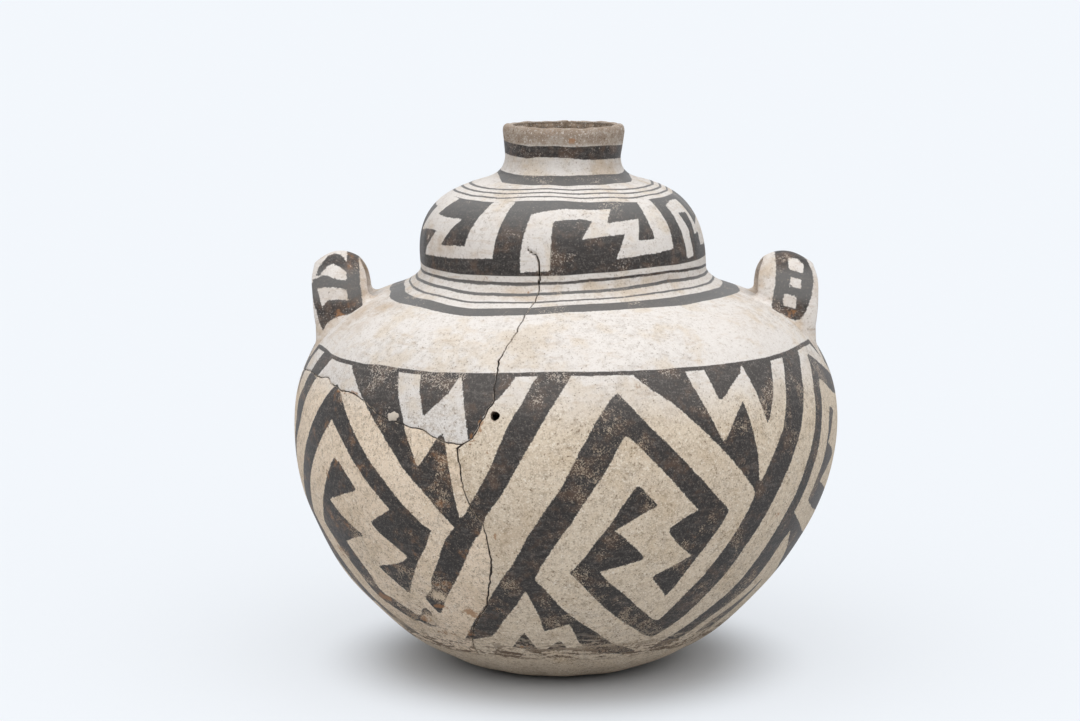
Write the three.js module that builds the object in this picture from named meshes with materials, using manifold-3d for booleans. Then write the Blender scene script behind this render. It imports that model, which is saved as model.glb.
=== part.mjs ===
// Black-on-white pottery jar, mended from three body sherds.
// Millimetres, +Z up, the front of the jar faces -Y and the middle of its base is the origin.
// The jar was raised in stages, so the base dish, body, upper lobe, neck and rim meet at bevelled
// coil joints. The body has since broken along three lines and was glued together again.
import * as THREE from 'three';
import { mergeVertices } from 'three/addons/utils/BufferGeometryUtils.js';
import Module from 'manifold-3d';

// Outside of the body, from the flat that the jar stands on to the foot of the upper lobe
const restRadius = 31;
const bellyRadius = 150;
const bellyHeight = 132;
const shoulderRise = 78.4;
const shoulderLedge = 13;
const ledgeRise = 9.6;

// Outside of the upper lobe, the neck and the rim, each height counted from the one below
const lobeRadius = 78.6;
const lobeWallRise = 6.5;
const lobeDomeRise = 41.7;
const neckFlare = 13;
const neckFlareRise = 12.8;
const neckRadius = 31.8;
const neckRise = 13;
const rimRadius = 33.2;
const lipRise = 4;
const lipFlat = 2.6;

// Walls, joints and gaps
const wallThickness = 6;
const jointGap = 0.3;
const jointBevel = 3;
const baseDishHeight = 22;
const rimCoilHeight = 11;
const lipEdgeRadius = 2;
const neckJointShare = 0.25;

// Cracks, and the glue that fills the middle of each
const glueThickness = 0.3;
const glueGap = 0.4;
const glueRecess = 0.8;
const lobeCrackWidth = 0.9;

// Hole drilled beside the front crack for a lashing, and the filler in a chip on the side crack
const mendHoleDiameter = 5;
const mendHoleAzimuth = -14.7;
const mendHoleShare = 0.713;
const fillerDiameter = 6.6;
const fillerDepth = 2.6;
const fillerAzimuth = -37.5;

// Strap lugs at the two sides: each arches from front to back and is keyed through the wall
const lugInset = 30.5;
const lugSpan = 46;
const lugRise = 18.6;
const lugWidth = 31;
const lugThickness = 8;
const lugBow = 7;
const lugFootFlare = 4;
const lugFlareShortness = 3;
const lugEdgeSquareness = 0.8;
const lugTilt = 0.08;
const lugLean = 4;
const keyDiameter = 8;
const keyHeadDepth = 3;
const cutOvershoot = 1;

// The jar was built by hand: its axis wanders by this much at the named share of its height
const leanLine = [[0, -1.4], [0.14, -1.7], [0.3, 0.4], [0.47, 2.3], [0.67, 0.9], [0.84, -0.9], [1, 0.5]];

// Cracks as azimuth in degrees, 0 at the front and positive towards +X, and share of the wall's
// height between the base dish and the foot of the lobe
const frontCrack = [
  [-29.5, 0], [-27, 0.06], [-19.5, 0.165], [-17.2, 0.235], [-15.6, 0.33], [-17, 0.435], [-20.6, 0.51],
  [-21.8, 0.635], [-17.7, 0.69], [-15.2, 0.745], [-15.2, 0.84], [-12.7, 0.905], [-9.7, 1],
];
const crossingShare = 0.635;
const sideCrack = [
  [-30.4, 0.66], [-42, 0.69], [-47, 0.72], [-59, 0.735], [-62, 0.75], [-73, 0.748], [-81, 0.737],
  [-96, 0.7], [-113, 0.73], [-131, 0.67],
];
const sideCrackEnd = 0.7;
const rearCrack = [[-156, 0], [-151, 0.2], [-158, 0.45], [-149, 0.7], [-154, 0.85], [-147, 1]];
const lobeCrack = [[-9.7, 0], [-9.3, 8], [-9.6, 12], [-10.6, 15.3], [-12.2, 16.8], [-14.4, 19]];

// How finely the pieces are drawn
const ringSteps = 48;
const sherdStepDegrees = 7.5;
const wallRows = 13;
const dishRows = 5;
const lobeRows = 10;
const neckRows = 3;
const lugSteps = 16;
const lugSides = 12;
const roundSteps = 20;
const envelopeRows = 60;
const lipOuterSteps = 3;
const lipInnerSteps = 2;

// Two stops nearer than this share of an even step become one, and so do two rows of a sherd
const leastStopSpacing = 0.35;
const leastRowSpacing = 0.01;

// A whole turn and the azimuth of the right side, in degrees
const fullTurn = 360;
const sideAzimuth = 90;

// Search tolerance, half the step that a normal is measured over, and corner weld distance
const lengthTolerance = 1e-4;
const normalStep = 2e-4;
const weldDistance = 1e-5;

// Roundness of the curves between the named places, as shares of the distance that each spans
const baseFullness = 0.51;
const bellyFullnessBelow = 0.41;
const bellyFullnessAbove = 0.53;
const shoulderFullness = 0.68;
const ledgeSlope = 0.3;
const ledgeFullness = 0.5;
const ledgeFootFullness = 0.33;
const domeWallFullness = 0.56;
const domeTopFullness = 0.7;
const domeSlope = 0.26;
const neckFlareFullness = 0.5;
const neckFootFullness = 0.7;

const slipWhite = 0xd8cfc4;
const slipTan = 0xc9b49c;
const slipGrey = 0xcfcac4;
const rimBrown = 0xa99480;
const baseTan = 0xc2ab90;
const glueBrown = 0x6b4a2c;
const fillerWhite = 0xe8e4dc;
const clayRoughness = 0.9;
const glueRoughness = 0.6;

const wasm = await Module();
wasm.setup();

const shoulderRadius = lobeRadius + shoulderLedge;
const shoulderHeight = bellyHeight + shoulderRise;
const lobeFootHeight = shoulderHeight + ledgeRise;
const lobeWallHeight = lobeFootHeight + lobeWallRise;
const lobeTopRadius = neckRadius + neckFlare;
const lobeTopHeight = lobeWallHeight + lobeDomeRise;
const neckHeight = lobeTopHeight + neckFlareRise;
const rimHeight = neckHeight + neckRise;
const lipHeight = rimHeight + lipRise;
const lugRadius = bellyRadius - lugInset;
const lugTopHeight = shoulderHeight + lugRise;

const mix = THREE.MathUtils.lerp;
const radians = THREE.MathUtils.degToRad;

// A curve between two places that leaves along one handle and arrives along another
function bend(from, leave, arrive, to) {
  const pair = ([radius, height]) => new THREE.Vector2(radius, height);
  return new THREE.CubicBezierCurve(pair(from), pair(leave), pair(arrive), pair(to));
}

// The outside in section, from the middle of the base to the widest part of the rim
function outsideLine() {
  const rest = [restRadius, 0];
  const belly = [bellyRadius, bellyHeight];
  const shoulder = [shoulderRadius, shoulderHeight];
  const lobeFoot = [lobeRadius, lobeFootHeight];
  const lobeWall = [lobeRadius, lobeWallHeight];
  const lobeTop = [lobeTopRadius, lobeTopHeight];
  const neck = [neckRadius, neckHeight];
  const rim = [rimRadius, rimHeight];
  const shoulderReach = shoulderFullness * (bellyRadius - shoulderRadius);
  const ledgeReach = ledgeFullness * shoulderLedge;
  const domeReach = domeTopFullness * (lobeRadius - lobeTopRadius);
  const neckReach = neckFlareFullness * neckFlare;
  const line = new THREE.CurvePath();
  line.add(new THREE.LineCurve(new THREE.Vector2(0, 0), new THREE.Vector2(...rest)));
  line.add(bend(
    rest, [mix(restRadius, bellyRadius, baseFullness), 0],
    [bellyRadius, mix(bellyHeight, 0, bellyFullnessBelow)], belly,
  ));
  line.add(bend(
    belly, [bellyRadius, mix(bellyHeight, shoulderHeight, bellyFullnessAbove)],
    [shoulderRadius + shoulderReach, shoulderHeight - ledgeSlope * shoulderReach], shoulder,
  ));
  line.add(bend(
    shoulder, [shoulderRadius - ledgeReach, shoulderHeight + ledgeSlope * ledgeReach],
    [lobeRadius, lobeFootHeight - ledgeFootFullness * ledgeRise], lobeFoot,
  ));
  line.add(new THREE.LineCurve(new THREE.Vector2(...lobeFoot), new THREE.Vector2(...lobeWall)));
  line.add(bend(
    lobeWall, [lobeRadius, mix(lobeWallHeight, lobeTopHeight, domeWallFullness)],
    [lobeTopRadius + domeReach, lobeTopHeight - domeSlope * domeReach], lobeTop,
  ));
  line.add(bend(
    lobeTop, [lobeTopRadius - neckReach, lobeTopHeight + domeSlope * neckReach],
    [neckRadius, neckHeight - neckFootFullness * neckFlareRise], neck,
  ));
  line.add(new THREE.LineCurve(new THREE.Vector2(...neck), new THREE.Vector2(...rim)));
  return line;
}

const outside = outsideLine();
const outsideLength = outside.getLength();

// Distance along the outside line, between two limits, at which a test stops being true
function lengthWhere(isBefore, from, to) {
  let low = from;
  let high = to;
  while (high - low > lengthTolerance) {
    const middle = (low + high) / 2;
    if (isBefore(outside.getPoint(middle / outsideLength))) low = middle;
    else high = middle;
  }
  return (low + high) / 2;
}

const lengthAt = (height) => lengthWhere((point) => point.y < height, 0, outsideLength);

const baseJoint = lengthAt(baseDishHeight);
const lobeJoint = lengthAt(lobeFootHeight);
const neckJoint = lengthAt(mix(lobeTopHeight, neckHeight, neckJointShare));
const rimJoint = lengthAt(lipHeight - rimCoilHeight);

// Distance along the outside line at a share of the wall's height between its two joints
const wallLength = (share) => {
  if (share <= 0) return baseJoint;
  if (share >= 1) return lobeJoint;
  return lengthAt(mix(baseDishHeight, lobeFootHeight, share));
};

// Radius and height of a point at a depth below the outside; the depth follows the wall's normal
function sectionPoint(length, depth) {
  const share = THREE.MathUtils.clamp(length / outsideLength, 0, 1);
  const point = outside.getPoint(share);
  const ahead = outside.getPoint(Math.min(1, share + normalStep));
  const behind = outside.getPoint(Math.max(0, share - normalStep));
  const direction = ahead.sub(behind).normalize();
  return new THREE.Vector2(point.x - direction.y * depth, point.y + direction.x * depth);
}

// The inside of a joint lies further up the wall than its outside, so the coils overlap
const insideLength = (length) => length + jointBevel * Math.min(1, length / baseJoint);
const insidePoint = (length) => sectionPoint(insideLength(length), wallThickness);

// Sideways wander of the jar's axis at a height
function lean(height) {
  const share = THREE.MathUtils.clamp(height / lipHeight, 0, 1);
  const next = Math.max(1, leanLine.findIndex(([at]) => at >= share));
  const [[from, start], [to, end]] = [leanLine[next - 1], leanLine[next]];
  return mix(start, end, THREE.MathUtils.smoothstep(share, from, to));
}

// A section point turned to an azimuth
function turned(point, azimuth) {
  const angle = radians(azimuth);
  return [point.x * Math.sin(angle) + lean(point.y), -point.x * Math.cos(angle), point.y];
}

// Straight interpolation along a list of [position, value] pairs sorted by position
function along(pairs, position) {
  const next = pairs.findIndex(([at]) => at >= position);
  if (next === 0) return pairs[0][1];
  if (next < 0) return pairs[pairs.length - 1][1];
  const [[from, start], [to, end]] = [pairs[next - 1], pairs[next]];
  return mix(start, end, (position - from) / (to - from));
}

// Shift of an upright crack's points to one side, in degrees, that keeps the gap square to it
function shiftUpright(line, distance) {
  return line.map(([length, azimuth], index) => {
    const radius = sectionPoint(length, 0).x;
    const before = line[Math.max(0, index - 1)];
    const after = line[Math.min(line.length - 1, index + 1)];
    const rise = after[0] - before[0];
    const run = radians(after[1] - before[1]) * radius;
    const slant = Math.hypot(rise, run) / Math.abs(rise);
    return [length, azimuth + THREE.MathUtils.radToDeg(distance * slant / radius)];
  });
}

// The same for the level side crack, whose points are [azimuth, length]
function shiftLevel(line, distance) {
  return line.map(([azimuth, length], index) => {
    const radius = sectionPoint(length, 0).x;
    const before = line[Math.max(0, index - 1)];
    const after = line[Math.min(line.length - 1, index + 1)];
    const run = radians(after[0] - before[0]) * radius;
    const slant = Math.hypot(after[1] - before[1], run) / Math.abs(run);
    return [azimuth, length + distance * slant];
  });
}

// A solid between an outer and an inner lattice of points, closed round its four edges
function latticeGeometry(outer, inner) {
  const columns = outer.length;
  const rows = outer[0].length;
  const positions = [...outer, ...inner].flat(2);
  const index = [];
  const at = (side, column, row) => (side * columns + column) * rows + row;
  const quad = (a, b, c, d) => index.push(a, b, c, a, c, d);
  for (let column = 0; column < columns - 1; column += 1) {
    for (let row = 0; row < rows - 1; row += 1) {
      quad(at(0, column, row), at(0, column + 1, row), at(0, column + 1, row + 1), at(0, column, row + 1));
      quad(at(1, column, row), at(1, column, row + 1), at(1, column + 1, row + 1), at(1, column + 1, row));
    }
    const top = rows - 1;
    quad(at(0, column, top), at(0, column + 1, top), at(1, column + 1, top), at(1, column, top));
    quad(at(0, column, 0), at(1, column, 0), at(1, column + 1, 0), at(0, column + 1, 0));
  }
  for (let row = 0; row < rows - 1; row += 1) {
    const end = columns - 1;
    quad(at(0, 0, row), at(0, 0, row + 1), at(1, 0, row + 1), at(1, 0, row));
    quad(at(0, end, row), at(1, end, row), at(1, end, row + 1), at(0, end, row + 1));
  }
  const geometry = new THREE.BufferGeometry();
  geometry.setAttribute('position', new THREE.Float32BufferAttribute(positions, 3));
  geometry.setIndex(index);
  return geometry;
}

// A round piece turned from a closed section, then shifted with the jar's wandering axis
function turnedGeometry(section, segments = ringSteps) {
  const geometry = new THREE.LatheGeometry(section, segments);
  geometry.rotateX(Math.PI / 2);
  const position = geometry.getAttribute('position');
  for (let i = 0; i < position.count; i += 1) {
    position.setX(i, position.getX(i) + lean(position.getZ(i)));
  }
  return geometry;
}

const steps = (from, to, count) => Array.from({ length: count + 1 }, (_, i) => mix(from, to, i / count));

// A ring of wall between two joints, with half of each joint's gap taken off
function wallRing(fromJoint, toJoint, rows) {
  const lengths = steps(fromJoint + jointGap / 2, toJoint - jointGap / 2, rows);
  const outerSide = lengths.map((length) => sectionPoint(length, 0));
  const innerSide = lengths.map(insidePoint).reverse();
  return turnedGeometry([...outerSide, ...innerSide, outerSide[0].clone()]);
}

function baseDish() {
  const top = baseJoint - jointGap / 2;
  const bowl = steps(restRadius, top, dishRows);
  const outerSide = [new THREE.Vector2(0, 0), ...bowl.map((length) => sectionPoint(length, 0))];
  const innerSide = [...bowl.map(insidePoint).reverse(), new THREE.Vector2(0, wallThickness)];
  return turnedGeometry([...outerSide, ...innerSide]);
}

function rimCoil() {
  const lengths = steps(rimJoint + jointGap / 2, outsideLength, 1);
  const outerSide = lengths.map((length) => sectionPoint(length, 0));
  const mouthRadius = rimRadius - wallThickness;
  const lipInner = new THREE.Vector2(mouthRadius + lipEdgeRadius / 2, lipHeight);
  const lipOuter = new THREE.Vector2(lipInner.x + lipFlat, lipHeight);
  const widest = outerSide[outerSide.length - 1];
  const outerEdge = bend(widest.toArray(), [rimRadius, lipHeight - lipEdgeRadius / 2],
    [mix(rimRadius, lipOuter.x, 0.5), lipHeight], lipOuter.toArray());
  const innerEdge = bend(lipInner.toArray(), [mouthRadius, lipHeight],
    [mouthRadius, lipHeight - lipEdgeRadius / 2], [mouthRadius, lipHeight - lipEdgeRadius]);
  const innerFoot = insidePoint(rimJoint + jointGap / 2);
  return turnedGeometry([
    ...outerSide, ...outerEdge.getPoints(lipOuterSteps).slice(1),
    ...innerEdge.getPoints(lipInnerSteps), innerFoot,
    outerSide[0].clone(),
  ]);
}

// Sorted shares of a span: the given positions inside it and even steps between its ends
function mergedShares(from, to, positions, count) {
  const even = steps(0, 1, count);
  const inside = positions.map((at) => (at - from) / (to - from)).filter((share) => share > 0 && share < 1);
  const isClear = (share) => inside.every((other) => Math.abs(other - share) > leastStopSpacing / count);
  const clear = even.filter(isClear);
  const ends = [0, 1].filter((end) => !clear.includes(end));
  return [...inside, ...clear, ...ends].sort((a, b) => a - b);
}

// Both faces of a sherd, from its corner places: columns run along the wall, rows up it
function sherdGeometry(columns) {
  const outer = columns.map((column) => column.map(([azimuth, length]) => (
    turned(sectionPoint(length, 0), azimuth))));
  const inner = columns.map((column) => column.map(([azimuth, length]) => (
    turned(insidePoint(length), azimuth))));
  return latticeGeometry(outer, inner);
}

const crackHalf = glueThickness / 2 + glueGap;
const bodyBottom = baseJoint + jointGap / 2;
const bodyTop = lobeJoint - jointGap / 2;

// Each crack as pairs sorted along it. Both sides of a crack, and the glue in it, bend at the
// same stops, so the gap keeps its width.
const upright = (crack) => crack.map(([azimuth, share]) => [wallLength(share), azimuth]);
const frontPlaces = upright(frontCrack);
const rearPlaces = upright(rearCrack);
const bends = [...frontPlaces, ...rearPlaces].map(([length]) => length);
const wallStops = mergedShares(bodyBottom, bodyTop, bends, wallRows)
  .map((share) => mix(bodyBottom, bodyTop, share));
const frontLine = wallStops.map((length) => [length, along(frontPlaces, length)]);
const rearLine = wallStops.map((length) => [length, along(rearPlaces, length)]);

const frontCrossing = wallLength(crossingShare);
const rearCrossing = wallLength(sideCrackEnd);
const sideFrom = along(rearLine, rearCrossing);
const sideTo = along(frontLine, frontCrossing);
const sidePlaces = [
  [sideFrom, rearCrossing],
  ...sideCrack.map(([azimuth, share]) => [azimuth, wallLength(share)]).reverse(),
  [sideTo, frontCrossing],
];
const sideSteps = Math.round((sideTo - sideFrom) / sherdStepDegrees);
const sideLine = mergedShares(sideFrom, sideTo, sidePlaces.map(([azimuth]) => azimuth), sideSteps)
  .map((share) => mix(sideFrom, sideTo, share))
  .map((azimuth) => [azimuth, along(sidePlaces, azimuth)]);

// The right sherd runs from the front crack round by the right to the rear crack
function rightSherd() {
  const left = shiftUpright(frontLine, crackHalf);
  const right = shiftUpright(rearLine, -crackHalf);
  const columnCount = Math.round((fullTurn + rearLine[0][1] - frontLine[0][1]) / sherdStepDegrees);
  return sherdGeometry(steps(0, 1, columnCount).map((across) => wallStops.map((length) => (
    [mix(along(left, length), along(right, length) + fullTurn, across), length]))));
}

// Shares of the way from a sherd's two corners to its joint at which an upright crack bends
function patchRows(corners, joint) {
  const shares = corners.flatMap((corner) => wallStops.map((length) => (length - corner) / (joint - corner)));
  const inside = shares.filter((share) => share > leastRowSpacing && share < 1 - leastRowSpacing);
  inside.sort((a, b) => a - b);
  const isApart = (share, index) => index === 0 || share - inside[index - 1] > leastRowSpacing;
  return [0, ...inside.filter(isApart), 1];
}

// A left sherd fills the patch between the rear crack, the front crack, the side crack and a joint
function leftSherd(isUpper) {
  const away = isUpper ? 1 : -1;
  const rear = shiftUpright(rearLine, crackHalf);
  const front = shiftUpright(frontLine, -crackHalf);
  const side = shiftLevel(sideLine, away * crackHalf);
  const joint = isUpper ? bodyTop : bodyBottom;
  const rearCorner = side[0][1];
  const frontCorner = side[side.length - 1][1];
  const rearAzimuth = along(rear, rearCorner);
  const frontAzimuth = along(front, frontCorner);
  const level = [
    [rearAzimuth, rearCorner],
    ...side.slice(1, -1),
    [frontAzimuth, frontCorner],
  ];
  const rows = patchRows([rearCorner, frontCorner], joint);
  const columns = level.map(([sideAzimuth, sideLength]) => rows.map((v) => {
    const u = (sideAzimuth - rearAzimuth) / (frontAzimuth - rearAzimuth);
    const rearLength = mix(rearCorner, joint, v);
    const frontLength = mix(frontCorner, joint, v);
    const acrossCracks = mix(along(rear, rearLength), along(front, frontLength), u);
    const detour = mix(sideLength - mix(rearCorner, frontCorner, u), 0, v);
    return [acrossCracks, mix(rearLength, frontLength, u) + detour];
  }));
  return sherdGeometry(isUpper ? columns : columns.map((column) => column.slice().reverse()));
}

// A thin sheet that stands in a crack, square to the wall, between two depths below the outside
function crackSheet(line, thickness, fromDepth, toDepth) {
  const side = (distance, depth) => line(distance).map(([azimuth, length]) => (
    turned(sectionPoint(mix(length, insideLength(length), depth / wallThickness), depth), azimuth)));
  const face = (depth) => [side(-thickness / 2, depth), side(thickness / 2, depth)];
  return latticeGeometry(face(fromDepth), face(toDepth));
}

const glueDepths = [glueRecess, wallThickness - glueRecess];
const swapped = (line) => line.map(([length, azimuth]) => [azimuth, length]);

// Part of a crack between two places on it, its ends included
function stretch(line, from, to) {
  const inside = line.filter(([at]) => at > from && at < to);
  return [[from, along(line, from)], ...inside, [to, along(line, to)]];
}

function uprightGlue(line) {
  return crackSheet((distance) => swapped(shiftUpright(line, distance)), glueThickness, ...glueDepths);
}

function sideGlue() {
  const endInset = THREE.MathUtils.radToDeg((crackHalf + jointGap + glueThickness / 2) / bellyRadius);
  const part = stretch(sideLine, sideFrom + endInset, sideTo - endInset);
  return crackSheet((distance) => shiftLevel(part, -distance), glueThickness, ...glueDepths);
}

// The open crack that runs up into the lobe, as the solid that it leaves missing
function lobeCrackCutter() {
  const [foot, ...rest] = lobeCrack.map(([azimuth, rise]) => [lobeJoint + rise, azimuth]);
  const start = [foot[0] - 2 * jointGap, foot[1]];
  const line = [start, foot, ...rest];
  return crackSheet(
    (distance) => swapped(shiftUpright(line, distance)), lobeCrackWidth,
    -cutOvershoot, wallThickness + cutOvershoot,
  );
}

// A strap lug: a strap carried over an arch, flat beneath and bowed across its top
function strapGeometry(isRight) {
  const halfSpan = (lugSpan - lugThickness) / 2;
  const crown = lugTopHeight - lugThickness / 2;
  const footHeight = sectionPoint(shoulderLengthAt(lugRadius), 0).y - wallThickness;
  const rise = crown - footHeight;
  const hand = isRight ? 1 : -1;
  const sections = steps(0, Math.PI, lugSteps).map((turn) => {
    const out = new THREE.Vector2(-rise * Math.cos(turn), halfSpan * Math.sin(turn)).normalize();
    return steps(0, 2 * Math.PI, lugSides).slice(0, -1).map((angle) => {
      const width = lugWidth / 2 * roundedPower(Math.cos(angle));
      const topShare = (1 + Math.sin(angle)) / 2;
      const bow = lugBow * (2 * width / lugWidth) ** 2 * topShare * Math.sin(turn);
      const flare = lugFootFlare * (1 - Math.sin(turn)) ** lugFlareShortness;
      const halfThickness = lugThickness / 2 + flare;
      const thick = halfThickness * roundedPower(Math.sin(angle)) - bow;
      const y = -halfSpan * Math.cos(turn) + out.x * thick;
      const z = footHeight + rise * Math.sin(turn) + out.y * thick - lugTilt * width * Math.sin(turn);
      const x = lugRadius + width + lugLean * (z - footHeight) / rise - lugLean / 2;
      return [hand * x + lean(z), y, z];
    });
  });
  const ends = [sections[0], sections[sections.length - 1]].map((ring) => (
    [0, 1, 2].map((axis) => ring.reduce((sum, point) => sum + point[axis], 0) / ring.length)));
  return tubeGeometry(sections, ends, isRight);
}

// Squares off a circle's sine or cosine a little, so a strap has flats and rounded edges
function roundedPower(value) {
  return Math.sign(value) * Math.abs(value) ** lugEdgeSquareness;
}

// Closed tube through rings of points, with a fan to the middle at each end
function tubeGeometry(rings, ends, mirrored) {
  const sides = rings[0].length;
  const positions = [...rings.flat(), ...ends].flat();
  const index = [];
  const face = (a, b, c) => (mirrored ? index.push(a, c, b) : index.push(a, b, c));
  const last = (rings.length - 1) * sides;
  for (let side = 0; side < sides; side += 1) {
    const next = (side + 1) % sides;
    for (let ring = 0; ring < rings.length - 1; ring += 1) {
      const [a, b] = [ring * sides + side, ring * sides + next];
      face(a, b, b + sides);
      face(a, b + sides, a + sides);
    }
    face(rings.length * sides, next, side);
    face(rings.length * sides + 1, last + side, last + next);
  }
  const geometry = new THREE.BufferGeometry();
  geometry.setAttribute('position', new THREE.Float32BufferAttribute(positions, 3));
  geometry.setIndex(index);
  return geometry;
}

// Length along the outside above the belly at which it has a radius
function shoulderLengthAt(radius) {
  return lengthWhere((point) => point.x > radius, lengthAt(bellyHeight), lobeJoint);
}

// A rod square to the wall at an azimuth and length, between two depths below the outside
function wallRod(azimuth, length, diameter, fromDepth, toDepth) {
  const from = new THREE.Vector3(...turned(sectionPoint(length, fromDepth), azimuth));
  const to = new THREE.Vector3(...turned(sectionPoint(length, toDepth), azimuth));
  const geometry = new THREE.CylinderGeometry(diameter / 2, diameter / 2, from.distanceTo(to), roundSteps);
  const direction = to.clone().sub(from).normalize();
  geometry.applyQuaternion(new THREE.Quaternion().setFromUnitVectors(new THREE.Vector3(0, 1, 0), direction));
  const middle = from.add(to).multiplyScalar(0.5);
  return geometry.translate(middle.x, middle.y, middle.z);
}

// The two clay keys of a lug, in front of and behind its middle
function lugKeys(isRight, diameter, fromDepth, toDepth) {
  const length = shoulderLengthAt(lugRadius);
  const spread = THREE.MathUtils.radToDeg(Math.asin((lugSpan - lugThickness) / 2 / lugRadius));
  const middle = isRight ? sideAzimuth : -sideAzimuth;
  return [-1, 1].map((side) => wallRod(middle + side * spread, length, diameter, fromDepth, toDepth));
}

function toSolid(geometry) {
  const bare = geometry.clone();
  bare.deleteAttribute('normal');
  bare.deleteAttribute('uv');
  const merged = mergeVertices(bare, weldDistance);
  const corners = merged.getIndex().array;
  const faces = [];
  for (let i = 0; i < corners.length; i += 3) {
    const [a, b, c] = [corners[i], corners[i + 1], corners[i + 2]];
    if (a !== b && b !== c && c !== a) faces.push(a, b, c);
  }
  return new wasm.Manifold(new wasm.Mesh({
    numProp: 3,
    vertProperties: new Float32Array(merged.getAttribute('position').array),
    triVerts: new Uint32Array(faces),
  }));
}

function toGeometry(solid) {
  const mesh = solid.getMesh();
  const geometry = new THREE.BufferGeometry();
  geometry.setAttribute('position', new THREE.BufferAttribute(new Float32Array(mesh.vertProperties), 3));
  geometry.setIndex(new THREE.BufferAttribute(new Uint32Array(mesh.triVerts), 1));
  return geometry;
}

const cut = (geometry, ...tools) => toGeometry(tools.reduce(
  (solid, tool) => solid.subtract(toSolid(tool)), toSolid(geometry),
));

// Everything inside the outside line, grown by the joint gap, to fit a lug's feet to the shoulder
function bodyEnvelope() {
  const side = steps(restRadius, lobeJoint, envelopeRows).map((length) => sectionPoint(length, -jointGap));
  return turnedGeometry([
    new THREE.Vector2(0, -jointGap), ...side, new THREE.Vector2(0, side[side.length - 1].y),
  ], 2 * ringSteps);
}

// A lug rests on the shoulder, and its two keys pass through the wall
function strapLug(isRight) {
  const onBody = toSolid(strapGeometry(isRight)).subtract(toSolid(bodyEnvelope()));
  const keys = lugKeys(isRight, keyDiameter, -keyHeadDepth, wallThickness - jointGap);
  return toGeometry(keys.reduce((solid, key) => solid.add(toSolid(key)), onBody));
}

const throughWall = [-cutOvershoot, wallThickness + cutOvershoot];
const keyHoles = (isRight) => lugKeys(isRight, keyDiameter + 2 * jointGap, ...throughWall);
const mendHole = wallRod(mendHoleAzimuth, wallLength(mendHoleShare), mendHoleDiameter, ...throughWall);
const fillerLength = along(sideLine, fillerAzimuth);
const filler = wallRod(fillerAzimuth, fillerLength, fillerDiameter, 0, fillerDepth);
const chip = wallRod(
  fillerAzimuth, fillerLength, fillerDiameter + 2 * jointGap, -cutOvershoot, fillerDepth + jointGap,
);

const jar = new THREE.Group();

function addPiece(name, geometry, color, roughness = clayRoughness) {
  const mesh = new THREE.Mesh(geometry, new THREE.MeshStandardMaterial({ color, roughness, metalness: 0 }));
  mesh.name = name;
  jar.add(mesh);
}

addPiece('base_dish', baseDish(), baseTan);
addPiece('body_sherd_right', cut(rightSherd(), mendHole, ...keyHoles(true)), slipWhite);
addPiece('body_sherd_upper_left', cut(leftSherd(true), chip, ...keyHoles(false)), slipGrey);
addPiece('body_sherd_lower_left', cut(leftSherd(false), chip), slipTan);
addPiece('upper_lobe', cut(wallRing(lobeJoint, neckJoint, lobeRows), lobeCrackCutter()), slipWhite);
addPiece('neck_collar', wallRing(neckJoint, rimJoint, neckRows), slipWhite);
addPiece('rim_coil', rimCoil(), rimBrown);
addPiece('strap_lug_left', strapLug(false), slipTan);
addPiece('strap_lug_right', strapLug(true), slipWhite);
addPiece('glue_front_crack', uprightGlue(frontLine), glueBrown, glueRoughness);
addPiece('glue_side_crack', cut(sideGlue(), chip), glueBrown, glueRoughness);
addPiece('glue_rear_crack', uprightGlue(rearLine), glueBrown, glueRoughness);
addPiece('filler_side_crack', filler, fillerWhite);

export default jar;
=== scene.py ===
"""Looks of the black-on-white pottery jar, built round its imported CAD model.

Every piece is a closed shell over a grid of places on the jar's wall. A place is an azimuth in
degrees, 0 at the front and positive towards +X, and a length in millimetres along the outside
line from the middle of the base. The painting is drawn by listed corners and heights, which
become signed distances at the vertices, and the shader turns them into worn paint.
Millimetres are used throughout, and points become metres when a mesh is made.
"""

import bpy
import numpy as np
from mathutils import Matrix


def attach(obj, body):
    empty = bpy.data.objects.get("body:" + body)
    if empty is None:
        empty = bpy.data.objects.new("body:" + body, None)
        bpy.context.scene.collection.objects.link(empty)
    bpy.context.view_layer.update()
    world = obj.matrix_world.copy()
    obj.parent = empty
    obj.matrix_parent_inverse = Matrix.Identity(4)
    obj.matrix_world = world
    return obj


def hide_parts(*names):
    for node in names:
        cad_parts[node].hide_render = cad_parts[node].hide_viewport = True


MM = 0.001

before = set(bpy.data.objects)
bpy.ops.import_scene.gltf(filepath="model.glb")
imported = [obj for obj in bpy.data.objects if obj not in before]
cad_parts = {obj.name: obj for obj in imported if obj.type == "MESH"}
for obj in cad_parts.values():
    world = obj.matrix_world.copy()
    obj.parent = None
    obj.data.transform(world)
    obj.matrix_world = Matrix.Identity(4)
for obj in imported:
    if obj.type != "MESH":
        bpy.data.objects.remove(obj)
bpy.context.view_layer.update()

# Outside of the jar in section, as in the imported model
REST_RADIUS = 31.0
BELLY_RADIUS = 150.0
BELLY_HEIGHT = 132.0
SHOULDER_HEIGHT = BELLY_HEIGHT + 78.4
SHOULDER_LEDGE = 13.0
LEDGE_RISE = 9.6
LOBE_RADIUS = 78.6
SHOULDER_RADIUS = LOBE_RADIUS + SHOULDER_LEDGE
LOBE_FOOT_HEIGHT = SHOULDER_HEIGHT + LEDGE_RISE
LOBE_WALL_HEIGHT = LOBE_FOOT_HEIGHT + 6.5
LOBE_TOP_HEIGHT = LOBE_WALL_HEIGHT + 41.7
NECK_RADIUS = 31.8
NECK_FLARE = 13.0
LOBE_TOP_RADIUS = NECK_RADIUS + NECK_FLARE
NECK_FLARE_RISE = 12.8
NECK_HEIGHT = LOBE_TOP_HEIGHT + NECK_FLARE_RISE
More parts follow.
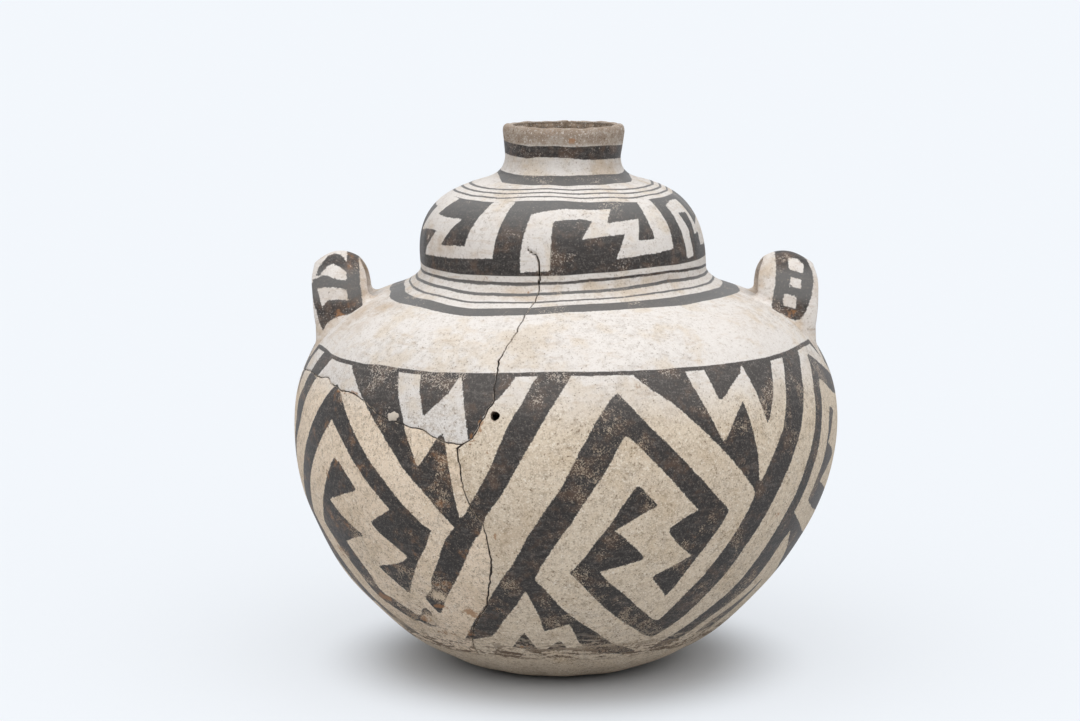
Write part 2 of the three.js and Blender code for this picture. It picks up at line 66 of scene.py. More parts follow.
RIM_RADIUS = 33.2
RIM_HEIGHT = NECK_HEIGHT + 13.0
LIP_HEIGHT = RIM_HEIGHT + 4.0
LIP_FLAT = 2.6
LIP_EDGE_RADIUS = 2.0
WALL = 6.0
JOINT_BEVEL = 3.0
BEVEL_FADE = 12.0
BASE_DISH_HEIGHT = 22.0
RIM_COIL_HEIGHT = 11.0
NECK_JOINT_SHARE = 0.25

# Roundness of the curves between those places, as shares of the distance that each spans
BASE_FULLNESS = 0.51
BELLY_FULLNESS_BELOW = 0.41
BELLY_FULLNESS_ABOVE = 0.53
SHOULDER_FULLNESS = 0.68
LEDGE_SLOPE = 0.3
LEDGE_FULLNESS = 0.5
LEDGE_FOOT_FULLNESS = 0.33
DOME_WALL_FULLNESS = 0.56
DOME_TOP_FULLNESS = 0.7
DOME_SLOPE = 0.26
NECK_FLARE_FULLNESS = 0.5
NECK_FOOT_FULLNESS = 0.7

# The jar's axis wanders sideways by this much at the named share of its height
LEAN = np.array([(0, -1.4), (0.14, -1.7), (0.3, 0.4), (0.47, 2.3), (0.67, 0.9), (0.84, -0.9), (1, 0.5)])

# Strap lugs at the two sides. The right one is a little wider.
LUG_RADIUS = BELLY_RADIUS - 28.6
LUG_SPAN = 46.0
LUG_TOP_HEIGHT = SHOULDER_HEIGHT + 18.6
LUG_WIDTH_LEFT = 30.8
LUG_WIDTH_RIGHT = 33.4
LUG_THICKNESS = 8.0
LUG_INSET = 0.3
LUG_BOW = 6.5
LUG_SQUARENESS = 0.8
LUG_TILT = 0.14
LUG_LEAN = 4.0
LUG_CROWN_SHARE = 0.18
LUG_FILLET_INNER = 5.5
LUG_FILLET_OUTER = 4.0
LUG_FILLET_ROWS = 8
LUG_SINK = 1.2
LUG_LINES = 96
LUG_ROWS = 90

# Spacing in mm of the grids over the outside, and in their cells that of the coarser grid inside
CELL = 1.35
COARSE = 3
DISH_CELL = 1.6
DISH_START = 2.0
LOBE_CELL = 1.15
COLLAR_CELL = 0.8
COLLAR_COLUMNS = 240

# Edges of the sherds in mm: close steps along the outside, the drop down the break, and how far the
# corners keep from the ends of the side crack
EDGE_STEPS = np.array([0.0, 0.35, 0.9, 1.8])
EDGE_DROP = 1.2
CORNER_INSET = 0.3

# Columns of the lobe, as from and to which azimuth and how far apart: closest at its open crack
LOBE_STRETCHES = [(-180, -38, 1.0), (-38, -25, 0.45), (-25, -16, 0.9), (-16, -8, 0.2), (-8, 180, 1.0)]


def mix(start, end, share):
    return start + (end - start) * share


def bezier(start, leave, arrive, end, count=500):
    """(1-t)^3 start + 3(1-t)^2 t leave + 3(1-t)t^2 arrive + t^3 end, for even steps of t."""
    t = np.linspace(0, 1, count)[:, None]
    start, leave, arrive, end = (np.array(place, float) for place in (start, leave, arrive, end))
    return (1 - t) ** 3 * start + 3 * (1 - t) ** 2 * t * leave + 3 * (1 - t) * t**2 * arrive + t**3 * end


def outside_line():
    """Radius and height at close steps up the outside, from the middle of the base to the rim."""
    shoulder_reach = SHOULDER_FULLNESS * (BELLY_RADIUS - SHOULDER_RADIUS)
    ledge_reach = LEDGE_FULLNESS * SHOULDER_LEDGE
    dome_reach = DOME_TOP_FULLNESS * (LOBE_RADIUS - LOBE_TOP_RADIUS)
    neck_reach = NECK_FLARE_FULLNESS * NECK_FLARE
    belly = (BELLY_RADIUS, BELLY_HEIGHT)
    shoulder = (SHOULDER_RADIUS, SHOULDER_HEIGHT)
    lobe_foot = (LOBE_RADIUS, LOBE_FOOT_HEIGHT)
    lobe_wall = (LOBE_RADIUS, LOBE_WALL_HEIGHT)
    lobe_top = (LOBE_TOP_RADIUS, LOBE_TOP_HEIGHT)
    neck = (NECK_RADIUS, NECK_HEIGHT)
    pieces = [
        np.linspace((0, 0), (REST_RADIUS, 0), 60),
        bezier(
            (REST_RADIUS, 0), (mix(REST_RADIUS, BELLY_RADIUS, BASE_FULLNESS), 0),
            (BELLY_RADIUS, mix(BELLY_HEIGHT, 0, BELLY_FULLNESS_BELOW)), belly,
        ),
        bezier(
            belly, (BELLY_RADIUS, mix(BELLY_HEIGHT, SHOULDER_HEIGHT, BELLY_FULLNESS_ABOVE)),
            (SHOULDER_RADIUS + shoulder_reach, SHOULDER_HEIGHT - LEDGE_SLOPE * shoulder_reach), shoulder,
        ),
        bezier(
            shoulder, (SHOULDER_RADIUS - ledge_reach, SHOULDER_HEIGHT + LEDGE_SLOPE * ledge_reach),
            (LOBE_RADIUS, LOBE_FOOT_HEIGHT - LEDGE_FOOT_FULLNESS * LEDGE_RISE), lobe_foot,
        ),
        np.linspace(lobe_foot, lobe_wall, 40),
        bezier(
            lobe_wall, (LOBE_RADIUS, mix(LOBE_WALL_HEIGHT, LOBE_TOP_HEIGHT, DOME_WALL_FULLNESS)),
            (LOBE_TOP_RADIUS + dome_reach, LOBE_TOP_HEIGHT - DOME_SLOPE * dome_reach), lobe_top,
        ),
        bezier(
            lobe_top, (LOBE_TOP_RADIUS - neck_reach, LOBE_TOP_HEIGHT + DOME_SLOPE * neck_reach),
            (NECK_RADIUS, NECK_HEIGHT - NECK_FOOT_FULLNESS * NECK_FLARE_RISE), neck,
        ),
        np.linspace(neck, (RIM_RADIUS, RIM_HEIGHT), 60),
    ]
    line = np.concatenate([pieces[0]] + [piece[1:] for piece in pieces[1:]])
    return line[:, 0], line[:, 1]


LINE_RADIUS, LINE_HEIGHT = outside_line()
LINE_LENGTH = np.concatenate([[0], np.cumsum(np.hypot(np.diff(LINE_RADIUS), np.diff(LINE_HEIGHT)))])
LINE_OUTWARD = np.gradient(LINE_RADIUS, LINE_LENGTH)
LINE_UPWARD = np.gradient(LINE_HEIGHT, LINE_LENGTH)
TOTAL_LENGTH = LINE_LENGTH[-1]

# Turns of a conformal map, in which a painted straight edge stays straight: length over radius
MAP_START = 2.0
LINE_TURNS = np.concatenate([[0], np.cumsum(np.diff(LINE_LENGTH) / np.maximum(LINE_RADIUS[1:], MAP_START))])


def radius_at(length):
    return np.interp(length, LINE_LENGTH, LINE_RADIUS)


def height_at(length):
    return np.interp(length, LINE_LENGTH, LINE_HEIGHT)


def length_at(height):
    """Length along the outside at a height above the flat that the jar stands on."""
    above = LINE_LENGTH >= REST_RADIUS
    return np.interp(height, LINE_HEIGHT[above], LINE_LENGTH[above])


def turns_at(length):
    return np.interp(length, LINE_LENGTH, LINE_TURNS)


def lean_at(height):
    """Sideways wander of the axis: smoothstep, 3t^2 - 2t^3, between the named heights."""
    share = np.clip(height / LIP_HEIGHT, 0, 1)
    place = np.clip(np.searchsorted(LEAN[:, 0], share), 1, len(LEAN) - 1)
    start, end = LEAN[place - 1], LEAN[place]
    t = np.clip((share - start[..., 0]) / (end[..., 0] - start[..., 0]), 0, 1)
    return mix(start[..., 1], end[..., 1], t * t * (3 - 2 * t))


BASE_JOINT = length_at(BASE_DISH_HEIGHT)
LOBE_JOINT = length_at(LOBE_FOOT_HEIGHT)
NECK_JOINT = length_at(mix(LOBE_TOP_HEIGHT, NECK_HEIGHT, NECK_JOINT_SHARE))
RIM_JOINT = length_at(LIP_HEIGHT - RIM_COIL_HEIGHT)

# Unevenness of the hand-built wall: waves round the jar and up it. Sizes and lengths are in mm.
WAVE_COUNT = 22
WAVE_DEPTH = 0.42
WAVE_SEED = 7
STEEPNESS_WEIGHT = 60
DENT_MIDDLE = 0.75
DENT_LEAST = 0.3
DENT_FADE_IN = 40
DENT_FADE_OUT = 60
DENT_SHARE_AT_LIP = 0.25
waves = np.random.default_rng(WAVE_SEED)
WAVE_ROUND = waves.integers(2, 17, WAVE_COUNT)
WAVE_UP = waves.uniform(0.015, 0.12, WAVE_COUNT)
WAVE_START = waves.uniform(0, 2 * np.pi, (2, WAVE_COUNT))
WAVE_SIZE = WAVE_DEPTH / np.sqrt(WAVE_ROUND + STEEPNESS_WEIGHT * WAVE_UP)


def dent(azimuth, length):
    """How far the wall lies below its even shape, in mm, never negative: a middle depth plus the sum
    of size * sin(round * azimuth + a) * sin(up * length + b), less at the rest and at the lip."""
    angle = np.radians(azimuth)[..., None]
    rise = length[..., None]
    total = WAVE_SIZE * np.sin(WAVE_ROUND * angle + WAVE_START[0]) * np.sin(WAVE_UP * rise + WAVE_START[1])
    fade_in = np.clip((length - REST_RADIUS) / DENT_FADE_IN, 0, 1)
    fade_out = np.clip((TOTAL_LENGTH - length) / DENT_FADE_OUT + DENT_SHARE_AT_LIP, 0, 1)
    return np.maximum(DENT_MIDDLE + total.sum(-1), DENT_LEAST) * (fade_in * fade_out)


def bell(distance):
    return np.exp(-(distance**2))


def wall_point(azimuth, length, depth):
    """Point at a depth square to the wall, in mm: (r sin a + lean, -r cos a, z), with r and z the
    outside line's radius and height moved inwards along its normal."""
    outward = np.interp(length, LINE_LENGTH, LINE_OUTWARD)
    upward = np.interp(length, LINE_LENGTH, LINE_UPWARD)
    radius = radius_at(length) - upward * depth
    height = height_at(length) + outward * depth
    angle = np.radians(azimuth)
    return np.stack([radius * np.sin(angle) + lean_at(height), -radius * np.cos(angle), height], -1)


# Lines of small seeded steps, for edges that broke or were painted by hand
STEP_COUNT = 4000
STEPS_BEFORE_ZERO = 400
JAG_SIZE = 0.5
FINE_JAG_SIZE = 0.22


def rough_line(positions, seed, spacing, size):
    """Straight interpolation between seeded random values of up to size, spacing apart."""
    values = np.random.default_rng(seed).uniform(-size, size, STEP_COUNT)
    return np.interp(positions, (np.arange(STEP_COUNT) - STEPS_BEFORE_ZERO) * spacing, values)


def jags(positions, seed, spacing, fine_spacing):
    """How far a broken edge strays to one side, in mm: coarse steps with fine ones on them."""
    coarse = rough_line(positions, seed, spacing, JAG_SIZE)
    return coarse + rough_line(positions, seed + 1, fine_spacing, FINE_JAG_SIZE)


# The cracks, as azimuth and height: the front one from the lobe's foot down, the side one from
# the front crack to the left and out of sight, the rear one from the base up
FRONT_CRACK = [
    (-9.7, 220.0), (-9.8, 216.7), (-10.4, 212.9), (-11.3, 210.8), (-12.7, 201.2), (-14.4, 193.6),
    (-15.2, 188.0), (-15.2, 177.7), (-15.1, 168.9), (-16.0, 165.8), (-17.7, 158.5), (-19.2, 150.5),
    (-21.3, 147.4), (-22.1, 145.3), (-22.0, 140.5), (-21.4, 132.5), (-20.6, 122.8), (-19.2, 114.7),
    (-17.0, 107.4), (-16.2, 99.7), (-15.6, 87.0), (-16.4, 77.0), (-17.2, 67.6), (-18.4, 58.1),
    (-22.1, 48.1), (-25.4, 38.5), (-28.1, 30.2), (-29.5, 22.0),
]
SIDE_CRACK = [
    (-23.8, 147.3), (-26.3, 148.4), (-30.4, 153.0), (-35.0, 153.9), (-38.4, 155.8), (-42.1, 157.9),
    (-47.0, 163.7), (-51.1, 166.0), (-55.3, 165.8), (-59.0, 167.0), (-62.0, 170.1), (-66.4, 168.5),
    (-73.2, 169.3), (-80.8, 167.3), (-96.0, 160.6), (-113.0, 166.5), (-131.0, 154.7),
]
SIDE_CRACK_START = 147.2
SIDE_CRACK_END = 160.6
REAR_CRACK = [(-156, 22.0), (-151, 61.6), (-158, 111.1), (-149, 160.6), (-154, 190.3), (-147, 220.0)]
LOBE_CRACK = [(-9.7, 220.0), (-9.3, 227.9), (-9.6, 231.8), (-10.6, 235.3), (-12.2, 236.6), (-14.4, 238.7)]
LOBE_HAIRLINE = [(-34.3, 260.2), (-32.3, 254.5), (-31.1, 249.4), (-29.7, 246.3), (-26.8, 244.7)]
CRACK_HALF_GAP = 0.24
GLUE_DEPTH = 0.9

# Seeds of the jagged lines of the cracks, and of the chips along each edge
FRONT_SEED = 11
REAR_SEED = 21
SIDE_SEED = 31
LOBE_SEED = 41
RIGHT_FRONT_CHIPS = 51
RIGHT_REAR_CHIPS = 53
LEFT_FRONT_CHIPS = 55
LEFT_REAR_CHIPS = 57
SIDE_UPPER_CHIPS = 59
SIDE_LOWER_CHIPS = 61
LIP_NICKS = 77
GLUE_SEED = 91


def crack_azimuth(places, length, seed):
    """Azimuth of an upright crack at each length: straight between its places, and jagged."""
    picked = np.array(sorted((length_at(height), azimuth) for azimuth, height in places))
    straight = np.interp(length, picked[:, 0], picked[:, 1])
    return straight + np.degrees(jags(length, seed, 2.3, 0.9) / radius_at(length))


def front_azimuth(length):
    return crack_azimuth(FRONT_CRACK, length, FRONT_SEED)


def rear_azimuth(length):
    return crack_azimuth(REAR_CRACK, length, REAR_SEED)


def side_crack_length(azimuth):
    """Length of the side crack at each azimuth: straight between its places, and jagged except
    within two degrees of its ends."""
    start = float(front_azimuth(np.array(length_at(SIDE_CRACK_START))))
    end = float(rear_azimuth(np.array(length_at(SIDE_CRACK_END))))
    places = [(start, SIDE_CRACK_START), *SIDE_CRACK, (end, SIDE_CRACK_END)]
    picked = np.array(sorted((place, length_at(height)) for place, height in places))
    straight = np.interp(azimuth, picked[:, 0], picked[:, 1])
    fade = np.clip((start - azimuth) / 2, 0, 1) * np.clip((azimuth - end) / 2, 0, 1)
    return straight + jags(azimuth, SIDE_SEED, 0.9, 0.35) * fade


def lobe_crack_line(count):
    """Azimuth and length at even steps along the open crack of the lobe."""
    up = np.linspace(LOBE_JOINT - 2, length_at(LOBE_CRACK[-1][1]), count)
    return crack_azimuth(LOBE_CRACK, up, LOBE_SEED), up


# Half width of the front crack by height, in mm: it gapes below the ledge and on the lower belly
FRONT_GAP = [
    (22, 0.2), (50, 0.3), (58, 0.42), (78, 0.5), (98, 0.44), (104, 0.22), (112, 0.36), (128, 0.4),
    (143, 0.45), (146, 0.85), (149, 0.4), (160, 0.46), (183, 0.48), (192, 0.38), (198, 0.2), (213, 0.18),
    (220, 0.28),
]


def gap_half_width(position, seed, even=CRACK_HALF_GAP):
    """Half the width of a crack along it, in mm: an even width, 0.07 of seeded steps 9 mm apart, and
    chips of 1.3 max(steps - 0.62, 0) from steps 2.6 mm apart."""
    chips = np.maximum(rough_line(position, seed, 2.6, 1.0) - 0.62, 0) * 1.3
    return even + 0.07 * rough_line(position, seed + 1, 9.0, 1.0) + chips


def front_gap(length, seed):
    return gap_half_width(length, seed, np.interp(height_at(length), *np.array(FRONT_GAP).T))


# Hole drilled beside the front crack, and the filling in a chip on the side crack, as azimuth and
# height. The hole's rings are shares of its radius and depths, and so are the filling's, which is
# wider than high and has a tip above the wall and one inside it.
MEND_HOLE = (-14.7, 162.3)
MEND_HOLE_RADIUS = 2.45
HOLE_CELLS = 9
HOLE_RINGS = [(1.3, 0.0), (1.03, 0.06), (0.98, 0.45), (0.9, WALL - 0.5)]
SHADED_RINGS = 2
FILLER = (-37.7, 157.7)
FILLER_WIDTH = 3.6
FILLER_RISE = 2.7
FILLER_SHARES = np.array([0.25, 0.5, 0.75, 0.92, 1.0, 0.9])
FILLER_DEPTHS = np.array([-0.42, -0.38, -0.25, -0.08, 0.2, 1.6])
FILLER_TIPS = np.array([-0.45, 1.6])

# Distances in mm: beyond REACH a painted edge isn't looked for, and CRACK_FAR is far from a crack
REACH = 7.0
CRACK_FAR = 20.0
FAR = 1e3
TINY = 1e-12


def edge_distance(start, end, x, y):
    """Distance to the straight edge between two places: to its point whose share of the way is
    (p - start) . (end - start) / |end - start|^2, kept between 0 and 1."""
    dx, dy = end - start
    share = np.clip(((x - start[0]) * dx + (y - start[1]) * dy) / (dx * dx + dy * dy + TINY), 0, 1)
    return np.hypot(x - start[0] - share * dx, y - start[1] - share * dy)


def distance_to_line(azimuth, length, line_azimuth, line_length):
    """Least distance in mm from each point to a line of places, measured in the conformal map."""
    x, y = np.radians(azimuth), turns_at(length)
    line = np.stack([np.radians(line_azimuth), turns_at(line_length)], -1)
    least = np.full(x.shape, FAR)
    for start, end in zip(line[:-1], line[1:]):
        least = np.minimum(least, edge_distance(start, end, x, y))
    return least * radius_at(length)


def outline_distance(corners, x, y):
    """Distance to a closed outline, positive inside it: the least distance to its edges, with the
    sign from whether the number of edges to the right of the point is odd."""
    least = np.full(x.shape, FAR)
    inside = np.zeros(x.shape, bool)
    for start, end in zip(corners, np.roll(corners, -1, 0)):
        least = np.minimum(least, edge_distance(start, end, x, y))
        dx, dy = end - start
        crosses = (start[1] > y) != (end[1] > y)
        inside ^= crosses & (x < start[0] + dx * (y - start[1]) / (dy if dy else TINY))
    return np.where(inside, least, -least)


def wrapped(azimuth):
    return (azimuth + 180) % 360 - 180


def crack_distance(azimuth, length):
    """Distance in mm to the nearest crack, from any point of the outside."""
    azimuth = wrapped(azimuth)
    up = np.linspace(BASE_JOINT - 6, LOBE_JOINT + 2, 180)
    across = np.linspace(-150, -21.5, 160)
    lines = [
        (front_azimuth(up), up),
        (rear_azimuth(up), up),
        (across, side_crack_length(across)),
        lobe_crack_line(40),
    ]
    return np.min([distance_to_line(azimuth, length, *line) for line in lines], axis=0)


# Painted shapes on the belly, as corners of azimuth and height. Dark inside.
BAR_CENTRE = [
    (-5.9, 182), (-7.5, 177), (-9.5, 168), (-11.5, 160), (-13, 152), (-15.4, 135.8), (-18, 122.8),
    (-20.3, 111.7), (-21.5, 108.5), (-23, 103.2), (-25.5, 95.4), (-28.5, 82), (-31.5, 71), (-32.1, 65.5),
    (-35.5, 58), (-34.8, 54), (-33, 49), (-32, 51), (-28.5, 61), (-24.5, 73.4), (-21.8, 83.8),
    (-19, 96.4), (-17.5, 101), (-16, 111), (-12.5, 124.5), (-9.5, 140), (-6, 155.5), (-2.5, 170),
    (0, 178.7), (1.2, 182.3),
]
BAR_RIGHT = [
    (56.8, 181.4), (53.5, 172.7), (51, 162.2), (48.5, 148.8), (45, 135.8), (42.2, 124), (41.8, 121.6),
    (40.7, 116.8), (40, 110), (38, 97.5), (36, 86.5), (33.5, 72.7), (30.5, 62.6), (28, 53), (26.3, 47.2),
    (28.2, 34.6), (31.5, 40), (35, 48.4), (38, 59), (40.5, 70.2), (42.5, 86.5), (45, 99.3), (46.8, 110.2),
    (49.5, 122.8), (52, 134.7), (54.8, 147.6), (57.4, 159.3), (60.2, 170), (62, 175), (64.5, 179.6),
    (66.3, 182.4),
]
BAR_LEFT = [
    (-70.5, 180), (-72.6, 169), (-75, 159.3), (-78.5, 152), (-80, 141), (-83, 128), (-88, 110), (-92, 90),
    (-98, 70), (-102, 52), (-99, 50), (-95, 64), (-90, 82), (-86.5, 98), (-82.5, 116), (-79.5, 129.4),
    (-76, 138), (-74.5, 142.3), (-71.5, 154), (-68.5, 165.2), (-65.5, 174.5), (-64, 178.9),
]
HOOK_LEFT = [
    (-54.5, 178.3), (-38.6, 179), (-38, 175.3), (-37, 168), (-35.6, 160.2), (-34, 149.8), (-32.7, 143.3),
    (-31, 133.8), (-30.5, 134.7), (-28, 144.4), (-26, 151.8), (-25.3, 151.4), (-24.6, 144.5),
    (-23.2, 127.2), (-21.6, 108.5), (-22, 105), (-23, 103.3), (-25, 108.5), (-30, 122), (-35, 133.5),
    (-37.5, 141.2), (-41, 149.8), (-47, 164.2), (-51, 172.7), (-53, 176.2),
]
TEETH_LEFT = [
    (-32.7, 179.3), (-10.7, 181.3), (-12.2, 176), (-15.2, 168), (-17, 162), (-18.5, 154), (-19.4, 148.2),
    (-20, 150.3), (-20.8, 160.2), (-21.5, 169), (-22.3, 177), (-23, 178), (-25, 171.5), (-27.8, 165.2),
    (-30.3, 159), (-31, 166), (-31.8, 171),
]
HOOK_RIGHT = [
    (13.5, 182.3), (26.1, 182.3), (27, 175.3), (29, 162), (31, 149.8), (31.8, 146), (32.8, 148.8),
    (35, 157), (38, 165), (38.7, 159), (39.7, 146.5), (41.2, 125), (41.8, 121.5), (42, 118), (40.7, 117),
    (40, 119.4), (35, 133), (30, 146), (25, 159), (21.5, 167.6), (18, 173.6), (16, 177),
]
TEETH_RIGHT = [
    (31, 182.2), (51.6, 181.2), (50, 177), (48.3, 170), (46.5, 162.2), (43.8, 151.8), (43.4, 155),
    (43, 160.2), (42.5, 167), (41.8, 176.2), (41.4, 179.7), (40, 178.3), (36, 172.7), (34, 168.6),
    (32.6, 166.4), (31.8, 171), (31.5, 175.3),
]
MAZE_CENTRE = [
    (10.1, 173.6), (11.5, 170), (16, 157), (20, 146.5), (25, 133), (30, 120), (34.5, 109.6), (33, 99.8),
    (31, 90.2), (29, 80.6), (27, 71), (25, 63), (23.5, 66.3), (20, 74.5), (20, 76.4), (24, 80.6),
    (28.1, 85.5), (24, 93.4), (21.3, 100.8), (21.4, 103.3), (25, 109.6), (27, 111.7), (22, 124.5),
    (17, 138), (12.5, 150.3), (11, 153.2), (9, 145), (7, 135), (4, 122.8), (1, 108), (-2, 96), (-5, 83.8),
    (-6.5, 76), (-3.2, 67.5), (0, 58.3), (5, 48.4), (10, 41.3), (15, 34), (20, 30), (25, 25.5), (26, 23),
    (10, 27), (5.3, 34.7), (3.8, 41.3), (2.2, 47.4), (-4.4, 42.3), (-5.3, 51), (-7, 60.4), (-8.6, 69),
    (-11, 59), (-14, 51), (-17, 42.6), (-19.8, 37.3), (-30.5, 32), (-26.5, 39), (-23.5, 46.4),
    (-20, 54.6), (-17, 64), (-14, 75.1), (-10.8, 85.6), (-8, 99), (-5, 112), (-1.5, 127), (2, 145.5),
    (5.2, 159.5), (8.6, 170.7),
]
STEPS_CENTRE = [
    (12, 122.8), (13.5, 128), (14.5, 125.5), (16, 121.2), (18.1, 116), (16.5, 114), (11.5, 106.5),
    (9.5, 103.7), (11, 101.3), (15, 92.5), (16.9, 87.4), (16, 86), (10, 82.4), (7.5, 80.4), (10, 74.2),
    (15, 64.6), (20, 55.3), (24.5, 48.4), (26.3, 47.2), (29.5, 43.5), (29.2, 38.5), (28.2, 34.6),
    (25, 36.7), (20, 43.5), (15, 49.7), (10, 58.6), (5, 70.2), (2, 77.6), (1, 80), (3.8, 88), (6, 97),
    (8.8, 107), (10.8, 117.5),
]
TOOTH_LEFT = [(-10, 41), (-8.5, 35.6), (-6.8, 29), (-15, 30.5), (-13.5, 33.5), (-11.5, 38)]
TOOTH_RIGHT = [(0.2, 35.6), (1, 33.5), (2.3, 28.7), (-4.5, 29), (-3, 31.5), (-1, 34.5)]
MAZE_LEFT = [
    (-57, 168.7), (-54.5, 163.8), (-51, 153.4), (-47, 142.3), (-43, 132.6), (-39, 124), (-35, 113.5),
    (-30, 102.5), (-28.4, 100), (-30.5, 90), (-33.5, 81), (-36.5, 71), (-39, 63), (-40.3, 58.6),
    (-44, 66.3), (-47.3, 73), (-41, 76.8), (-38, 79.3), (-36, 82.8), (-39, 88), (-43, 94.5),
    (-44.8, 98.9), (-42, 102.9), (-38.2, 108.6), (-42, 117.5), (-46, 126.1), (-50, 134.7), (-54, 144.4),
    (-56.5, 149.8), (-60, 139), (-66.5, 115.8), (-71, 97.9), (-73, 91), (-71, 82), (-68, 66), (-64.5, 52),
    (-62, 46.5), (-58.7, 43), (-54, 35), (-51, 28), (-58, 27), (-62, 36), (-64.5, 43), (-70, 41),
    (-72, 51), (-75, 64), (-79, 55), (-84, 46), (-88, 37), (-97, 32), (-92, 44), (-88, 58), (-84, 75),
    (-78, 95.9), (-75, 107), (-69.5, 128.3), (-63.5, 149.8), (-60.5, 160.2), (-58, 166.6),
]
STEPS_LEFT = [
    (-56, 127.2), (-54.7, 130.2), (-53, 128.3), (-49, 119.6), (-47.4, 115.5), (-53, 110.6), (-58, 106.5),
    (-57.5, 105), (-54, 97.9), (-50, 92), (-48.2, 89.7), (-53, 86.5), (-57.2, 82.8), (-55.5, 76),
    (-53.2, 68.2), (-52.7, 65.1), (-52, 58), (-50.5, 54.5), (-48, 53.4), (-45, 49), (-43.5, 47.8),
    (-42, 45), (-40, 46.4), (-38.5, 50.4), (-37, 51.4), (-36, 49.5), (-36, 41), (-37, 39.5), (-40, 38.5),
    (-43, 41.3), (-45, 40), (-50, 45.8), (-55, 51), (-57, 56), (-59.3, 64.5), (-62.5, 75), (-66, 89.7),
    (-63, 98.9), (-60.2, 109.2), (-57.2, 121.7),
]
MAZE_RIGHT = [
    (69.5, 179.3), (70.5, 179.3), (71.5, 178.3), (75, 173.2), (81, 166.2), (88, 159), (89, 153),
    (82, 153), (79, 155), (76, 158.2), (71, 165.2), (69.5, 166.4), (68, 163.3), (66, 154), (64, 144.4),
    (62.2, 132.6), (60.3, 120.7), (58.3, 107), (57, 99.8), (59, 96.4), (64, 89.2), (70, 82.4), (80, 76),
    (87, 74), (91, 66), (88, 64), (85, 61.8), (78, 53), (73, 58.3), (68.5, 64.8), (65, 73.4), (61, 82.8),
    (59.4, 88), (58, 82.8), (56.8, 69.4), (55, 58.3), (51, 48.5), (47, 40), (43, 33), (38, 26), (31, 25),
    (35, 32.5), (39, 39.5), (42.5, 46.4), (46, 55.3), (48.5, 65.5), (49.9, 75), (51.2, 86.5), (53, 99.8),
    (55.2, 112.3), (56.8, 124), (59, 135.8), (61, 147.6), (63.5, 162.2), (66, 170), (68, 174.5),
]
STEPS_RIGHT = [
    (71.5, 150.8), (73, 149.8), (75.5, 147), (73.5, 144.4), (70.5, 137), (68.5, 132.6), (73, 127.2),
    (75.2, 123), (71, 117.5), (67.3, 111.7), (73, 106.5), (80, 100.8), (88, 98.4), (88, 86.9), (80, 88.6),
    (70, 95), (64, 101.4), (62.7, 104), (63.7, 111.3), (66, 122.8), (67.8, 134.7), (70, 146.5),
]
TOOTH_FAR_RIGHT = [
    (61.5, 58.7), (60, 54.6), (56, 46.4), (52, 38.5), (48, 29.5), (57, 29.5), (60.5, 45), (62, 52.4),
    (62.5, 57.7),
]

# The figures out of sight repeat those of the front, a little closer together
REPEAT_START = 76.3
REPEAT_PITCH = 57.5
REPEAT_SCALE = 0.93
REPEAT_FROM = 13.5
FIGURE_PITCH = 60.5


def repeated(corners, turn, shift=0.0):
    return [
        (REPEAT_START + REPEAT_PITCH * turn + REPEAT_SCALE * (azimuth + shift - REPEAT_FROM), height)
        for azimuth, height in corners
    ]


def belly_shapes():
    """Every dark shape of the belly, those that the front shows and those that repeat them."""
    shapes = [
        BAR_CENTRE, BAR_RIGHT, BAR_LEFT, HOOK_LEFT, TEETH_LEFT, HOOK_RIGHT, TEETH_RIGHT, MAZE_CENTRE,
        STEPS_CENTRE, TOOTH_LEFT, TOOTH_RIGHT, MAZE_LEFT, STEPS_LEFT, MAZE_RIGHT, STEPS_RIGHT,
        TOOTH_FAR_RIGHT,
    ]
    for turn in range(4):
        shapes += [repeated(HOOK_RIGHT, turn), repeated(TEETH_RIGHT, turn)]
    for turn in range(3):
        shapes.append(repeated(BAR_RIGHT, turn))
        for corners in (MAZE_CENTRE, STEPS_CENTRE, TOOTH_LEFT, TOOTH_RIGHT):
            shapes.append(repeated(corners, turn, FIGURE_PITCH))
    return shapes


# White figures left open in the dark zone of the lobe, as corners of azimuth and height
KEY_CENTRE = [
    (-13.4, 255.7), (-10, 256.8), (-5, 257.7), (0, 258.4), (10, 258.7), (23.3, 258.6), (20.8, 254.8),
    (19.5, 252.2), (20, 251.7), (34.9, 253), (33.3, 247.2), (31.6, 241.9), (39.7, 241.7), (39.8, 245),
    (39.2, 254.4), (39.8, 260.9), (43, 261.8), (48.3, 261.2), (49, 254), (49.6, 245), (48.9, 235.7),
    (40, 234.6), (30, 233.8), (21, 232.7), (23.5, 238.7), (25.9, 244.5), (26, 245.6), (15, 244.8),
    (7.8, 243.5), (9.5, 247.2), (13.4, 253.1), (8, 253.8), (-3.5, 252.7), (-4.2, 244.5), (-4.5, 238.7),
    (-5.3, 227.1), (-17, 225.8), (-16.7, 234.4), (-15.6, 243.4), (-14.2, 251.9),
]
KEY_LEFT = [
    (-120, 257.5), (-88, 261.4), (-70, 261.4), (-60.6, 260.6), (-63, 257), (-66.5, 252.4), (-65, 251.7),
    (-46.5, 251.4), (-50, 247.8), (-54, 241.7), (-57, 236.6), (-41.7, 237.8), (-40.6, 243.4),
    (-39.5, 247.8), (-37.5, 255.4), (-35.7, 261.2), (-30, 261.9), (-23.5, 261.5), (-25, 254.4),
    (-26.9, 244.5), (-28.2, 232.6), (-50, 230.7), (-70, 230), (-68.5, 234.4), (-65.5, 238.1),
    (-61.5, 244), (-70, 243.9), (-85, 241.5), (-80.5, 247.8), (-77, 253.4), (-75, 255.5), (-90, 255.7),
    (-103, 254.8), (-104, 229), (-121, 228),
]
